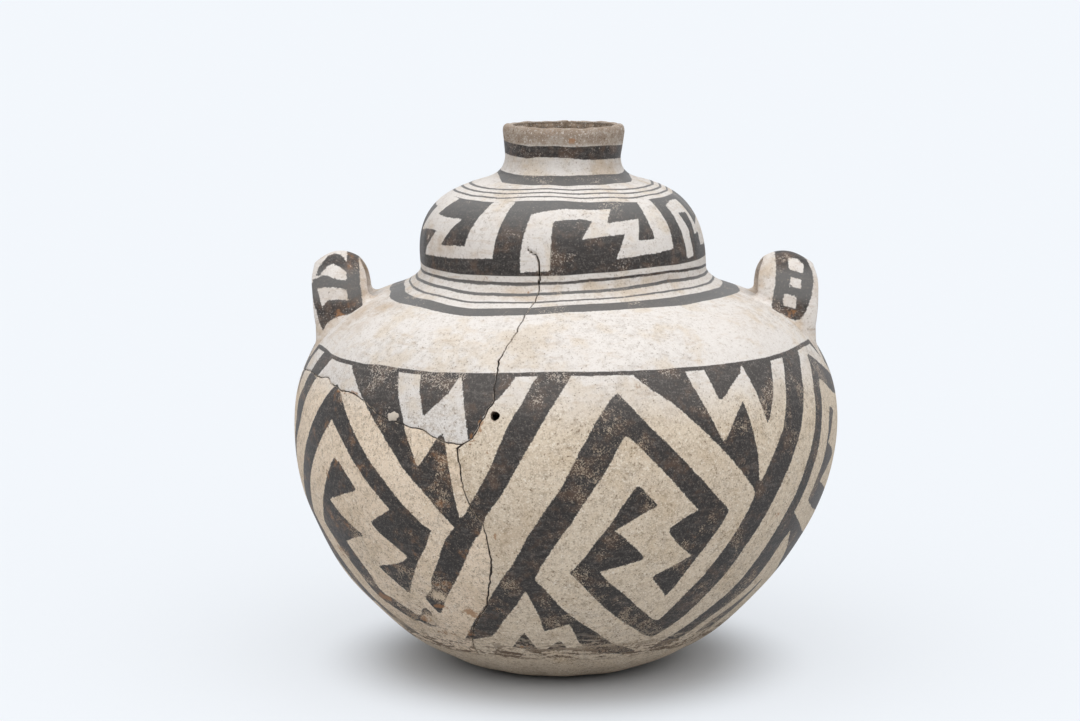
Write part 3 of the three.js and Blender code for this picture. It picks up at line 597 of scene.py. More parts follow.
KEY_RIGHT = [
    (56.3, 257.7), (60, 258.7), (65, 259.6), (72.3, 259.4), (72.6, 254.3), (74.2, 247.6), (74.6, 245.6),
    (80, 247.3), (92, 248.6), (112, 249.5), (111.5, 260.6), (125, 261), (126, 248), (125, 235.6),
    (100, 234.4), (82, 233.8), (76.2, 234.4), (75, 237.5), (75.8, 241.4), (69.4, 241.3), (69.8, 247),
    (69.9, 253), (62.2, 253.5), (63.2, 249), (64.3, 244), (63.6, 240), (63.9, 230), (58, 229.6),
    (58, 236), (57.4, 246),
]
KEY_BACK_START = 142.0
KEY_BACK_SCALE = 1.3


def lobe_figures():
    """The white figures of the lobe, and one behind that repeats the middle one, drawn wider."""
    first = KEY_CENTRE[-1][0]
    back = [(KEY_BACK_START + KEY_BACK_SCALE * (azimuth - first), height) for azimuth, height in KEY_CENTRE]
    return [KEY_CENTRE, KEY_LEFT, KEY_RIGHT, back]


# Painted rings, each between two heights at the front, and the dark zone of the lobe. The belly's
# figures end at BELLY_PAINT_TOP, and those of the lobe start above FIGURES_PART_HEIGHT.
RINGS = [
    (182.1, 184.0), (208.5, 211.1), (212.6, 213.2), (215.7, 217.0), (220.2, 221.7), (263.8, 264.35),
    (265.5, 266.05), (267.1, 267.6), (268.5, 272.3), (281.7, 288.2),
]
LOBE_ZONE = (224.8, 262.4)
BELLY_PAINT_TOP = 183.0
FIGURES_PART_HEIGHT = 200

# Corners less than BAND_NEAR under the belly's top ring are moved up into it by BAND_OVERLAP. The
# ring strays by the named row of STRAYS.
BAND_NEAR = 2.2
BAND_OVERLAP = 0.9
BELLY_STRAY_ROW = 1

# How far each ring strays from its height round the jar: height, then azimuth and stray in mm. The
# painting strays with the rings, from the named length up.
STRAYS_START = REST_RADIUS + 30
STRAYS = [
    (120.0, [(-88, 0), (88, 0)]),
    (183.0, [
        (-88, -3.5), (-80, -2.7), (-75, -1.8), (-70, -2), (-66, -3), (-60, -3.5), (-50, -3.7),
        (-45, -2.7), (-40, -3), (-30, -3), (-20, -2), (-15, -1.5), (-5, -0.3), (0, 0), (10, -0.5),
        (20, -0.6), (25, 0), (35, -0.4), (40, -0.5), (50, -0.6), (60, 0), (70, 0.8), (76, 0.3),
        (88, -0.5),
    ]),
    (210.0, [
        (-80, 0.9), (-70, -0.65), (-60, -0.95), (-50, -1.1), (-40, -1.75), (-30, -2.2), (-20, -1.55),
        (-10, -0.95), (0, 0), (10, 0.5), (20, 0.95), (40, 0.95), (50, 1.4), (70, 0.8), (85, 0.4),
    ]),
    (213.0, [
        (-80, 0.5), (-70, 0), (-60, -0.5), (-50, -0.7), (-45, -1.05), (-35, -1.6), (-20, -1.1),
        (-10, -0.45), (0, 0), (10, 0.65), (20, 1.2), (30, 1.85), (45, 2.2), (65, 2.0), (80, 2.3),
    ]),
    (216.4, [
        (-70, -0.4), (-50, -0.8), (-45, -1.15), (-40, -1.5), (-30, -1.7), (-20, -1.35), (-10, -0.4),
        (0, 0), (10, 0.55), (20, 1.15), (30, 1.85), (40, 2.6), (45, 3.05), (50, 2.7), (65, 2.2),
        (85, 2.1),
    ]),
    (221.0, [
        (-70, -1.35), (-45, -1.65), (-30, -1.35), (-20, -1.1), (-10, -0.65), (0, 0), (10, 1.2),
        (20, 1.75), (30, 2.5), (40, 2.8), (45, 3.05), (60, 2.3), (70, 1.6), (85, 0.6),
    ]),
    (224.8, [
        (-70, -1.6), (-45, -2.2), (-30, -1.3), (-10, -0.6), (0, 0), (10, 0.9), (20, 1.2), (30, 2.1),
        (40, 2.6), (50, 2.3), (65, 2.6), (80, 2.4),
    ]),
    (262.4, [
        (-88, -1.2), (-42, -1.5), (-20, -0.4), (0, 0), (19, -0.3), (41, -1.4), (50, -1.0), (88, -0.6),
    ]),
    (265.6, [(-88, -0.6), (-50, -1.0), (-25, -0.1), (0, 0), (25, -0.1), (48, -1.0), (88, -0.6)]),
    (267.7, [(-88, -0.6), (-50, -1.0), (-25, -0.1), (0, 0), (25, -0.1), (48, -1.0), (88, -0.6)]),
    (268.5, [
        (-90, 3.9), (-80, 3.6), (-70, 2.9), (-60, 1.6), (-50, 0.2), (0, 0), (62, 0.1), (75, 1.3),
        (88, 2.6),
    ]),
    (272.3, [(-88, 0.9), (-70, 0.4), (-40, -0.4), (0, 0), (30, 0.3), (60, -0.3), (88, 0.6)]),
    (281.7, [
        (-88, 1.3), (-60, 0.2), (-35, -0.4), (-25, 0.6), (5, 0.2), (21, -1.0), (50, -1.2), (85, -2.0),
    ]),
    (288.2, [(-88, 1.2), (-76, 1.3), (-35, -0.4), (-10, 0.3), (9, -0.3), (44, -0.1), (82, -1.3)]),
]


def ring_strays(azimuth):
    """Stray in mm at each height of STRAYS, one row each: straight between the named places round
    the jar, and joined behind it."""
    azimuth = wrapped(azimuth)
    rows = []
    for _, places in STRAYS:
        picked = np.array(places, float)
        round_jar = np.concatenate([picked, [[picked[0, 0] + 360, picked[0, 1]]]])
        rows.append(np.interp((azimuth - picked[0, 0]) % 360 + picked[0, 0], *round_jar.T))
    return np.array(rows)


def paint_level(azimuth, length):
    """Length up the wall with the stray taken out: straight between the heights where the named
    levels are painted, and above or below them all with the last one's stray. Near the rest it is
    the plain length."""
    height = height_at(length)
    levels = np.array([level for level, _ in STRAYS])
    rows = ring_strays(azimuth)
    painted = rows + levels.reshape(-1, *[1] * azimuth.ndim)
    place = np.clip((painted <= height).sum(0), 1, len(levels) - 1)
    below = np.take_along_axis(painted, (place - 1)[None], 0)[0]
    above = np.take_along_axis(painted, place[None], 0)[0]
    level = mix(levels[place - 1], levels[place], (height - below) / (above - below))
    level = np.where(height < painted[0], height - rows[0], level)
    level = np.where(height > painted[-1], height - rows[-1], level)
    return np.where(length > STRAYS_START, length_at(level), length)


def inside_distance(corners, azimuth, length):
    """Distance in mm to a painted shape's outline in the conformal map, positive inside it and never
    below -REACH. The shape is also looked for a turn back and a turn on."""
    corners = np.array(corners, float)
    outline = np.stack([np.radians(corners[:, 0]), turns_at(length_at(corners[:, 1]))], -1)
    (left, bottom), (right, top) = outline.min(0), outline.max(0)
    y = turns_at(length)
    radius = radius_at(length)
    margin = REACH / np.maximum(radius, 1)
    level_with = (y > bottom - margin) & (y < top + margin)
    result = np.full(azimuth.shape, -REACH)
    for turn in (-2 * np.pi, 0, 2 * np.pi):
        x = np.radians(azimuth) + turn
        near = (x > left - margin) & (x < right + margin) & level_with
        result[near] = np.maximum(result[near], outline_distance(outline, x[near], y[near]) * radius[near])
    return result


def raised_to_band(corners):
    """The corners, with those close under the belly's top ring moved up into it."""
    result = []
    for azimuth, height in corners:
        band = RINGS[0][0] + float(ring_strays(np.array(azimuth))[BELLY_STRAY_ROW])
        result.append((azimuth, band + BAND_OVERLAP if height > band - BAND_NEAR else height))
    return result


def paint_distance(azimuth, length):
    """Signed distance to the painted shapes, in mm: on the belly positive in the dark ones, on the
    lobe negative in the white ones."""
    azimuth = wrapped(azimuth)
    belly = np.max([inside_distance(raised_to_band(shape), azimuth, length) for shape in belly_shapes()], 0)
    lobe = np.min([-inside_distance(figure, azimuth, length) for figure in lobe_figures()], 0)
    return np.where(height_at(length) < FIGURES_PART_HEIGHT, belly, lobe)


# Places with worn paint, with stains and some painted shade, and with rust marks: azimuth, height, width,
# rise and strength
WORN_PLACES = [
    (15, 27, 40, 3, 0.5), (60, 28, 40, 5, 0.4), (30, 29, 20, 4, 0.3), (-25, 30, 20, 5, 0.4),
    (-10, 30, 26, 5, 0.25), (0, 31, 70, 5, 0.2), (-12, 33, 12, 5, 0.2), (6, 33, 12, 4, 0.2),
    (-40, 34, 30, 7, 0.3), (-75, 35, 30, 8, 0.5), (-62, 42, 14, 8, 0.6), (-38, 43, 8, 6, 0.7),
    (-24, 43, 9, 9, 0.3), (-36, 45, 14, 7, 0.4), (33, 49, 4, 6, 0.3), (-48, 50, 12, 6, 0.7),
    (-55, 60, 9, 6, 0.9), (-31, 61, 7, 5, 0.9), (-17, 76, 3, 4, 0.3), (3, 80, 3, 3, 0.4),
    (-64, 90, 10, 14, 0.3), (52, 100, 6, 4, 0.3), (-30, 106, 7, 7, 0.4), (2, 118, 6, 10, 0.25),
    (-25, 130, 7, 10, 0.3), (-28, 150, 8, 4, 0.35), (-4, 150, 5, 14, 0.3), (-48, 169, 14, 7, 0.2),
    (14, 175, 8, 6, 0.3), (-13, 176, 3, 8, 0.3), (10, 182, 10, 2, 0.35), (-60, 210, 14, 2.5, 0.35),
    (-33, 212, 14, 4, 0.5), (-15, 218, 16, 3, 0.45), (8, 220, 10, 2, 0.4), (41, 221, 12, 3, 0.4),
    (-62, 226, 2, 1, 0.9), (-68, 239, 2.5, 4, 1.0), (60, 240, 10, 8, 0.3), (-22, 246, 4, 5, 0.4),
    (12, 249, 6, 4, 0.35), (-14, 258, 8, 5, 0.3), (0, 263, 20, 2, 0.25), (-13, 265, 8, 2, 0.5),
    (-20, 270, 6, 2, 0.4), (24, 270, 10, 2, 0.4), (0, 285, 8, 5, 0.55),
]
STAINS_AND_SHADE = [
    (-5, 22, 60, 5, 0.5), (0, 26, 120, 7, 0.4), (-35, 40, 40, 10, 0.5), (-45, 45, 24, 8, 0.6),
    (-20, 62, 22, 12, 0.45), (35, 70, 30, 14, 0.3), (-150, 90, 90, 50, 0.4), (-50, 100, 40, 30, 0.4),
    (-10, 100, 14, 22, 0.6), (28, 118, 40, 30, 0.35), (150, 120, 90, 50, 0.4), (-22, 130, 12, 14, 0.5),
    (-88, 150, 40, 60, 0.4), (12, 150, 50, 28, 0.3), (-5, 195, 30, 10, 0.2), (-68, 198, 18, 9, 0.8),
    (-78, 200, 20, 20, 0.5), (60, 200, 30, 14, 0.25), (80, 200, 16, 14, 0.4), (-66, 205, 16, 8, 0.9),
    (-74, 209, 14, 8, 0.9), (74, 209, 14, 8, 0.9), (-20, 214, 22, 5, 0.5), (38, 215, 20, 5, 0.4),
    (-15, 216, 14, 4, 0.6), (10, 217, 60, 5, 0.4), (8, 220, 9, 3, 0.5), (42, 221, 14, 3, 0.6),
    # The marks at (-62, 236) and at height 277 are painted shade on the sides of the lobe and the neck,
    # where they turn from the light.
    (-40, 232, 20, 8, 0.4), (-62, 236, 18, 10, 0.9), (-25, 252, 12, 8, 0.5), (-45, 277, 12, 5, 0.8),
    (45, 277, 14, 6, 0.9), (50, 277, 14, 8, 0.5),
]
RUST_MARKS = [
    (12, 28, 12, 2.5, 0.5), (-10, 31, 14, 2.5, 0.6), (-35, 36, 12, 4, 0.7), (-26, 38, 5, 5, 0.7),
    (-40, 44, 8, 5, 0.8), (-5, 47, 4, 3, 0.4), (-22, 50, 5, 3, 0.7), (-52, 52, 12, 4, 0.9),
    (-24, 53, 5, 4, 0.8), (-32, 54, 7, 3, 0.9), (-16, 55, 6, 3, 0.7), (-22, 62, 6, 4, 0.6),
    (-20, 72, 2, 2, 0.5), (-3, 74, 5, 3, 0.5), (-64, 75, 9, 12, 0.6), (2, 83, 3, 3, 0.4),
    (28, 97, 3, 3, 0.4), (-14.3, 100, 1.2, 3.5, 1.0), (50, 101, 3, 3, 0.9), (-58, 120, 8, 8, 0.5),
    (-15.8, 144.3, 1.5, 1.6, 1.0), (-22, 146, 1.5, 3, 0.6), (-27, 149, 3, 1.3, 0.6),
    (-50, 150, 14, 8, 0.35), (-19.4, 150, 1.6, 5, 1.0), (-33, 153, 5, 2, 0.6),
    (-15.4, 153.4, 1.2, 1.5, 1.0), (20, 155, 4, 9, 0.5), (-42, 158, 4, 1.3, 0.7),
    (-17.6, 158, 1.4, 8, 1.0), (-6, 160, 3, 8, 0.45), (-46, 162, 4, 2, 0.6), (-55, 165, 8, 2, 0.7),
    (-50, 166, 5, 1.5, 0.9), (-69, 169, 4, 1.5, 0.6), (-61, 169, 6, 1.5, 0.7), (14, 176, 7, 5, 0.5),
    (-15, 217, 10, 2, 0.6), (40, 219, 10, 2, 0.6), (70, 220, 6, 3, 0.5), (-30, 222, 12, 3, 0.5),
    (8, 291, 3, 2.5, 1.0), (-15, 294, 5, 2, 0.5),
]


def spots(places, azimuth, length):
    """Sum of strength * exp(-(across/width)^2 - (up/rise)^2) over the places, at most 1."""
    azimuth = wrapped(azimuth)
    total = np.zeros(azimuth.shape)
    for at, height, width, rise, strength in places:
        across = np.radians(wrapped(azimuth - at)) * radius_at(length)
        up = length - length_at(height)
        total += strength * np.exp(-((across / width) ** 2) - (up / rise) ** 2)
    return np.minimum(total, 1)


def surface_values(azimuth, length):
    """What the shader needs to know at each vertex of the outside."""
    return {
        "paint": paint_distance(azimuth, length),
        "level": paint_level(azimuth, length),
        "crack": crack_distance(azimuth, length),
        "stain_and_shade": spots(STAINS_AND_SHADE, azimuth, length),
        "worn": spots(WORN_PLACES, azimuth, length),
        "rust": spots(RUST_MARKS, azimuth, length),
        "plain": np.zeros(azimuth.shape),
    }


# The same for the rest of a shell: unpainted, far from a crack and a little stained
PLAIN_VALUES = {
    "paint": -REACH, "level": 0.0, "crack": CRACK_FAR, "stain_and_shade": 0.3, "worn": 0.0, "rust": 0.0, "plain": 1.0,
}


def grid_normals(points):
    """Unit normals of a grid of points: the cross product of its slopes along columns and rows."""
    across = np.gradient(points, axis=0)
    up = np.gradient(points, axis=1)
    normal = np.cross(across, up)
    return normal / np.maximum(np.linalg.norm(normal, axis=-1, keepdims=True), TINY)


def make_mesh(name, points, faces, values, normals=None):
    """A mesh object in metres from points in mm and arrays of faces, each array with faces of one
    kind. values are written as attributes, and where normals has a direction it sets the shading."""
    mesh = bpy.data.meshes.new(name)
    sizes = np.concatenate([np.full(len(group), group.shape[1]) for group in faces])
    corners = np.concatenate([group.ravel() for group in faces]).astype(np.int32)
    mesh.vertices.add(len(points))
    mesh.vertices.foreach_set("co", (points * MM).astype(np.float32).ravel())
    mesh.loops.add(len(corners))
    mesh.loops.foreach_set("vertex_index", corners)
    mesh.polygons.add(len(sizes))
    starts = np.concatenate([[0], np.cumsum(sizes)[:-1]]).astype(np.int32)
    mesh.polygons.foreach_set("loop_start", starts)
    mesh.update(calc_edges=True)
    mesh.polygons.foreach_set("use_smooth", np.ones(len(sizes), bool))
    for key, array in values.items():
        attribute = mesh.attributes.new(key, "FLOAT", "POINT")
        attribute.data.foreach_set("value", array.astype(np.float32))
    if normals is not None:
        mesh.normals_split_custom_set(normals[corners])
    mesh.validate()
    thing = bpy.data.objects.new(name, mesh)
    bpy.context.scene.collection.objects.link(thing)
    return thing


def strip(loop, other):
    """Quads between two loops of vertices with the same count, run backwards along the first."""
    return np.stack([loop[1:], loop[:-1], other[:-1], other[1:]], -1)


def reducing_strip(fine, coarse):
    """Six-sided faces that join each COARSE edges of a fine loop to one edge of a coarse loop."""
    fine_parts = [fine[COARSE - step: len(fine) - step: COARSE] for step in range(COARSE + 1)]
    return np.stack([*fine_parts, coarse[:-1], coarse[1:]], -1)


def quads(index):
    """Faces of a grid of vertex numbers, outwards where columns run right and rows run up."""
    return np.stack([index[:-1, :-1], index[1:, :-1], index[1:, 1:], index[:-1, 1:]], -1).reshape(-1, 4)


def closed(index):
    """A grid of vertex numbers with its first column [column, row] once more after the last."""
    return np.concatenate([index, index[:1]])


def fan(ring, tip):
    """Triangles from each edge of a closed loop of vertices to one more vertex."""
    return np.stack([ring[:-1], ring[1:], np.full(len(ring) - 1, tip)], -1)


def inner_length(length, bottom, top):
    """The inside of a joint lies a bevel further up the wall than its outside, which fades out over
    BEVEL_FADE from the joint."""
    near = np.maximum(1 - (length - bottom) / BEVEL_FADE, 1 - (top - length) / BEVEL_FADE)
    return length + JOINT_BEVEL * np.clip(near, 0, 1) * np.minimum(1, length / BASE_JOINT)


def edge_depth(azimuth, length):
    """Depth to which the broken edge of a crack is rounded off: 0.4 exp(-(distance / 0.55)^2)."""
    return 0.4 * bell(crack_distance(azimuth, length) / 0.55)


def around(index):
    """The four sides of a grid of vertex numbers as one closed loop, its first vertex also last."""
    return np.concatenate([index[:-1, 0], index[-1, :-1], index[:0:-1, -1], index[0, ::-1]])


def sherd(name, azimuth, length, hole=None):
    """Closed piece of wall over a grid of places [column, row] between cracks and joints: the
    outside, a short drop down each edge, the inside on every third column and row, and the walls
    between. A hole is given as its azimuth and length, and passes right through."""
    rows_before = 2 * length[:, :1] - length[:, 1:2]
    rows_after = 2 * length[:, -1:] - length[:, -2:-1]
    long_length = np.concatenate([rows_before, length, rows_after], 1)
    long_azimuth = np.concatenate([azimuth[:, :1], azimuth, azimuth[:, -1:]], 1)
    depth = dent(long_azimuth, long_length) + edge_depth(long_azimuth, long_length)
    long_points = wall_point(long_azimuth, long_length, depth)
    outer = long_points[:, 1:-1]
    normal = grid_normals(long_points)[:, 1:-1]
    depth = depth[:, 1:-1]

    index = np.arange(azimuth.size).reshape(azimuth.shape)
    edge = around(index)[:-1]
    drop = wall_point(azimuth.ravel()[edge], length.ravel()[edge], depth.ravel()[edge] + EDGE_DROP)
    coarse_azimuth = azimuth[::COARSE, ::COARSE]
    coarse_length = length[::COARSE, ::COARSE]
    inside = wall_point(coarse_azimuth, inner_length(coarse_length, length.min(), length.max()), WALL)
    drop_start = index.size
    inside_start = drop_start + len(edge)
    inside_index = inside_start + np.arange(coarse_azimuth.size).reshape(coarse_azimuth.shape)
    drop_loop = drop_start + np.arange(len(edge) + 1) % len(edge)
    edge_loop = around(index)
    faces = [strip(edge_loop, drop_loop), reducing_strip(drop_loop, around(inside_index))]
    points = [outer.reshape(-1, 3), drop, inside.reshape(-1, 3)]
    outer_quads = quads(index)
    inside_quads = quads(inside_index)[:, ::-1]
    shading = [(0, normal.reshape(-1, 3))]
    outside = [(0, surface_values(azimuth.ravel(), length.ravel()))]
    if hole is not None:
        made = hole_faces(hole, azimuth, length, index, inside_index, inside_start + inside_index.size)
        outer_quads = outer_quads[made["keep"]]
        inside_quads = inside_quads[made["keep_inside"]]
        faces += made["faces"]
        points.append(made["points"])
        shading.append(made["normals"])
        outside.append(made["values"])
    return finish_shell(name, np.concatenate(points), [outer_quads, *faces, inside_quads], outside, shading)


def finish_shell(name, points, faces, outside, shading):
    """Fills up the values of the outside with plain ones for the other vertices. outside lists its
    values and shading its normals, each part with the vertex that it starts from."""
    full = {key: np.full(len(points), plain) for key, plain in PLAIN_VALUES.items()}
    for start, values in outside:
        for key, part in values.items():
            full[key][start: start + len(part)] = part
    normals = np.zeros((len(points), 3))
    for start, part in shading:
        normals[start: start + len(part)] = part
    return make_mesh(name, points, faces, full, normals)


def nearest(values, value):
    return int(np.argmin(np.abs(values - value)))


def hole_faces(hole, azimuth, length, index, inside_index, start):
    """Faces of a round hole: rings of vertices from a square of the outer grid down to the inside.
    A ring's place is the hole's middle plus its radius in the direction of the square's edge, and
    the radius is uneven by 1 + 0.06 sin(3 angle + 1) + 0.03 sin(7 angle)."""
    hole_azimuth, hole_length = hole
    column = nearest(azimuth[:, length.shape[1] // 2], hole_azimuth)
    row = nearest(length[column], hole_length)
    column = nearest(azimuth[:, row], hole_azimuth)
    inner_column, inner_row = (round((place - HOLE_CELLS // 2) / COARSE) for place in (column, row))
    first, low = inner_column * COARSE, inner_row * COARSE
    square = index[first: first + HOLE_CELLS + 1, low: low + HOLE_CELLS + 1]
    cells = HOLE_CELLS // COARSE
    inside_square = inside_index[inner_column: inner_column + cells + 1, inner_row: inner_row + cells + 1]
    border = around(square)[:-1]
    radius = float(radius_at(hole_length))
    across = np.radians(azimuth.ravel()[border] - hole_azimuth) * radius
    angle = np.arctan2(length.ravel()[border] - hole_length, across)
    ragged = 1 + 0.06 * np.sin(3 * angle + 1) + 0.03 * np.sin(7 * angle)
    rings = []
    places = []
    outward = []
    for share, depth in HOLE_RINGS:
        reach = MEND_HOLE_RADIUS * share * ragged
        ring_azimuth = hole_azimuth + np.degrees(reach * np.cos(angle) / radius)
        place = (ring_azimuth, hole_length + reach * np.sin(angle))
        ring_depth = depth + dent(*place)
        places.append(place)
        rings.append(wall_point(*place, ring_depth))
        outward.append(rings[-1] - wall_point(*place, ring_depth + 1))
    count = len(border)
    loops = [start + count * ring + np.arange(count + 1) % count for ring in range(len(rings))]
    bore = [strip(outer[::-1], inner[::-1]) for outer, inner in zip([around(square), *loops[:-1]], loops)]
    return {
        "faces": [np.concatenate(bore), reducing_strip(loops[-1][::-1], around(inside_square)[::-1])],
        "points": np.concatenate(rings),
        "keep": ~np.isin(quads(index), square).all(1),
        "keep_inside": ~np.isin(quads(inside_index), inside_square).all(1),
        "normals": (start, np.concatenate(outward[:SHADED_RINGS])),
        "values": (start, surface_values(*np.concatenate(places[:SHADED_RINGS], 1))),
    }


def even_count(span, spacing):
    """Number of even steps over a span, rounded to a multiple of COARSE."""
    return COARSE * max(1, round(span / spacing / COARSE))


def spread(width, count):
    """Positions across strips of each width in mm, as shares of it: the close steps of EDGE_STEPS at
    both edges and even ones between."""
    width = np.atleast_1d(width)[None, :]
    steps = np.repeat(EDGE_STEPS[:, None], width.shape[1], 1)
    even = np.linspace(0, 1, count - 2 * len(EDGE_STEPS) + 3)[1:-1, None]
    middle = mix(EDGE_STEPS[-1], width - EDGE_STEPS[-1], even)
    return np.concatenate([steps, middle, width - steps[::-1]], 0) / width


def right_sherd():
    """From the front crack round by the right to the rear crack, which is a turn further on."""
    rows = even_count(LOBE_JOINT - BASE_JOINT, CELL) + 1
    up = np.linspace(BASE_JOINT, LOBE_JOINT, rows)
    gap_left = front_gap(up, RIGHT_FRONT_CHIPS)
    gap_right = gap_half_width(up, RIGHT_REAR_CHIPS)
    radius = radius_at(up)
    left = front_azimuth(up) + np.degrees(gap_left / radius)
    right = rear_azimuth(up) + 360 - np.degrees(gap_right / radius)
    width = np.radians(right - left) * radius
    columns = even_count(width.max(), CELL)
    share = spread(width, columns)
    azimuth = mix(left[None], right[None], share)
    length = np.broadcast_to(up, azimuth.shape).copy()
    hole = (MEND_HOLE[0], float(length_at(MEND_HOLE[1])))
    return sherd("sherd_right", azimuth, length, hole)


def left_sherd(name, is_upper):
    """Fills the patch between the rear crack, the front crack, the side crack and a joint. Rows run
    from the side crack to the joint, and columns from the rear crack to the front one."""
    joint = LOBE_JOINT if is_upper else BASE_JOINT
    away = 1 if is_upper else -1
    front_corner = float(length_at(SIDE_CRACK_START)) + away * CORNER_INSET
    rear_corner = float(length_at(SIDE_CRACK_END)) + away * CORNER_INSET
    height = abs(joint - (front_corner + rear_corner) / 2)
    v = spread(height, even_count(height, CELL))[:, 0]
    front_length = mix(front_corner, joint, v)
    rear_length = mix(rear_corner, joint, v)
    front_half = front_gap(front_length, LEFT_FRONT_CHIPS)
    rear_half = gap_half_width(rear_length, LEFT_REAR_CHIPS)
    front = front_azimuth(front_length) - np.degrees(front_half / radius_at(front_length))
    rear = rear_azimuth(rear_length) + np.degrees(rear_half / radius_at(rear_length))
    width = float(np.radians(front - rear).max() * BELLY_RADIUS)
    u = spread(width, even_count(width, CELL))
    azimuth = mix(rear[None], front[None], u)
    side = mix(rear[0], front[0], u[:, 0])
    chips = SIDE_UPPER_CHIPS if is_upper else SIDE_LOWER_CHIPS
    gap = gap_half_width(np.radians(side) * BELLY_RADIUS, chips)
    crack = side_crack_length(side) + away * gap
    detour = crack - mix(rear_corner, front_corner, u[:, 0])
    length = mix(rear_length[None], front_length[None], u) + detour[:, None] * (1 - v[None])
    if not is_upper:
        azimuth, length = azimuth[:, ::-1], length[:, ::-1]
    return sherd(name, azimuth, length)


def turned_shell(name, azimuth, up, bottom, top):
    """Closed ring of wall between two joints. azimuth has one column more than the ring, a whole
    turn further on, so that the first and last columns are one."""
    step = up[1] - up[0]
    long_up = np.concatenate([[up[0] - step], up, [up[-1] + step]])
    long_azimuth = np.concatenate([[azimuth[-2] - 360], azimuth, [azimuth[1] + 360]])
    grid_azimuth, grid_length = np.meshgrid(long_azimuth, long_up, indexing="ij")
    depth = dent(grid_azimuth, grid_length) + groove(grid_azimuth, grid_length)
    points = wall_point(grid_azimuth, grid_length, depth)
    normal = grid_normals(points)[1:-2, 1:-1]
    outer = points[1:-2, 1:-1]
    columns, rows = outer.shape[:2]
    index = closed(np.arange(columns * rows).reshape(columns, rows))
    inner_azimuth, inner_up = np.meshgrid(azimuth[:-1:COARSE], up[::COARSE], indexing="ij")
    inside = wall_point(inner_azimuth, inner_length(inner_up, bottom, top), WALL)
    inside_index = closed(columns * rows + np.arange(inner_up.size).reshape(inner_up.shape))
    points = [outer.reshape(-1, 3), inside.reshape(-1, 3)]
    faces = [
        quads(index), quads(inside_index)[:, ::-1],
        reducing_strip(index[::-1, -1], inside_index[::-1, -1]),
    ]
    if bottom > 0:
        faces.append(reducing_strip(index[:, 0], inside_index[:, 0]))
    else:
        tip = columns * rows + inner_up.size
        points.append(wall_point(np.zeros(2), np.zeros(2), np.array([0, WALL])))
        faces += [fan(index[::-1, 0], tip), fan(inside_index[:, 0], tip + 1)]
    outside = surface_values(grid_azimuth[1:-2, 1:-1].ravel(), grid_length[1:-2, 1:-1].ravel())
    return finish_shell(name, np.concatenate(points), faces, [(0, outside)], [(0, normal.reshape(-1, 3))])


# The open crack in the lobe, as half widths in mm by height, with its depth and its worn edge, and
# the hairline left of it
LOBE_CRACK_HALF = [(220, 0.3), (231, 0.4), (235.5, 0.62), (237.5, 0.3)]
LOBE_CRACK_DEPTH = 2.6
LOBE_CRACK_SINK = 0.3
HAIRLINE_DEPTH = 0.35
HAIRLINE_HALF = 0.4


def groove(azimuth, length):
    """Depth of the open crack in the lobe and of the hairline left of it, and 0 for other pieces. The
    crack is at its full depth out to 0.35 of its half width, and ends at 1.35 of it."""
    if length.max() < LOBE_JOINT - 5 or length.min() > NECK_JOINT - 10:
        return np.zeros(azimuth.shape)
    azimuth = wrapped(azimuth)
    open_crack = distance_to_line(azimuth, length, *lobe_crack_line(60))
    heights, halves = np.array(LOBE_CRACK_HALF).T
    half = np.interp(length, length_at(heights), halves)
    deep = LOBE_CRACK_DEPTH * np.clip(1.35 - open_crack / half, 0, 1)
    deep += LOBE_CRACK_SINK * bell(open_crack / 0.8)
    places = np.array(LOBE_HAIRLINE)
    hair = distance_to_line(azimuth, length, places[:, 0], length_at(places[:, 1]))
    return deep + HAIRLINE_DEPTH * np.clip(1 - hair / HAIRLINE_HALF, 0, 1)


def base_dish():
    up = np.linspace(DISH_START, BASE_JOINT, even_count(BASE_JOINT, DISH_CELL) + 1)
    columns = even_count(2 * np.pi * radius_at(BASE_JOINT), DISH_CELL)
    return turned_shell("dish", np.linspace(-180, 180, columns + 1), up, 0, BASE_JOINT)


def lobe_ring():
    """The columns run over LOBE_STRETCHES, less the few that make their number uneven to COARSE."""
    up = np.linspace(LOBE_JOINT, NECK_JOINT, even_count(NECK_JOINT - LOBE_JOINT, LOBE_CELL) + 1)
    stops = [
        np.linspace(start, end, round((end - start) / step) + 1)[:-1] for start, end, step in LOBE_STRETCHES
    ]
    azimuth = np.concatenate([*stops, [180.0]])
    extra = (len(azimuth) - 1) % COARSE
    azimuth = np.delete(azimuth, np.arange(1, 1 + extra))
    return turned_shell("lobe", azimuth, up, LOBE_JOINT, NECK_JOINT)


def collar():
    up = np.linspace(NECK_JOINT, RIM_JOINT, even_count(RIM_JOINT - NECK_JOINT, COLLAR_CELL) + 1)
    return turned_shell("collar", np.linspace(-180, 180, COLLAR_COLUMNS + 1), up, NECK_JOINT, RIM_JOINT)


# Columns of the rim, the rise over which its wall goes from dented to worn, and how many points of
# the mouth's edge still look like the lip
RIM_COLUMNS = 300
LIP_WEAR_RISE = 2.0
LIP_LOOK_POINTS = 4


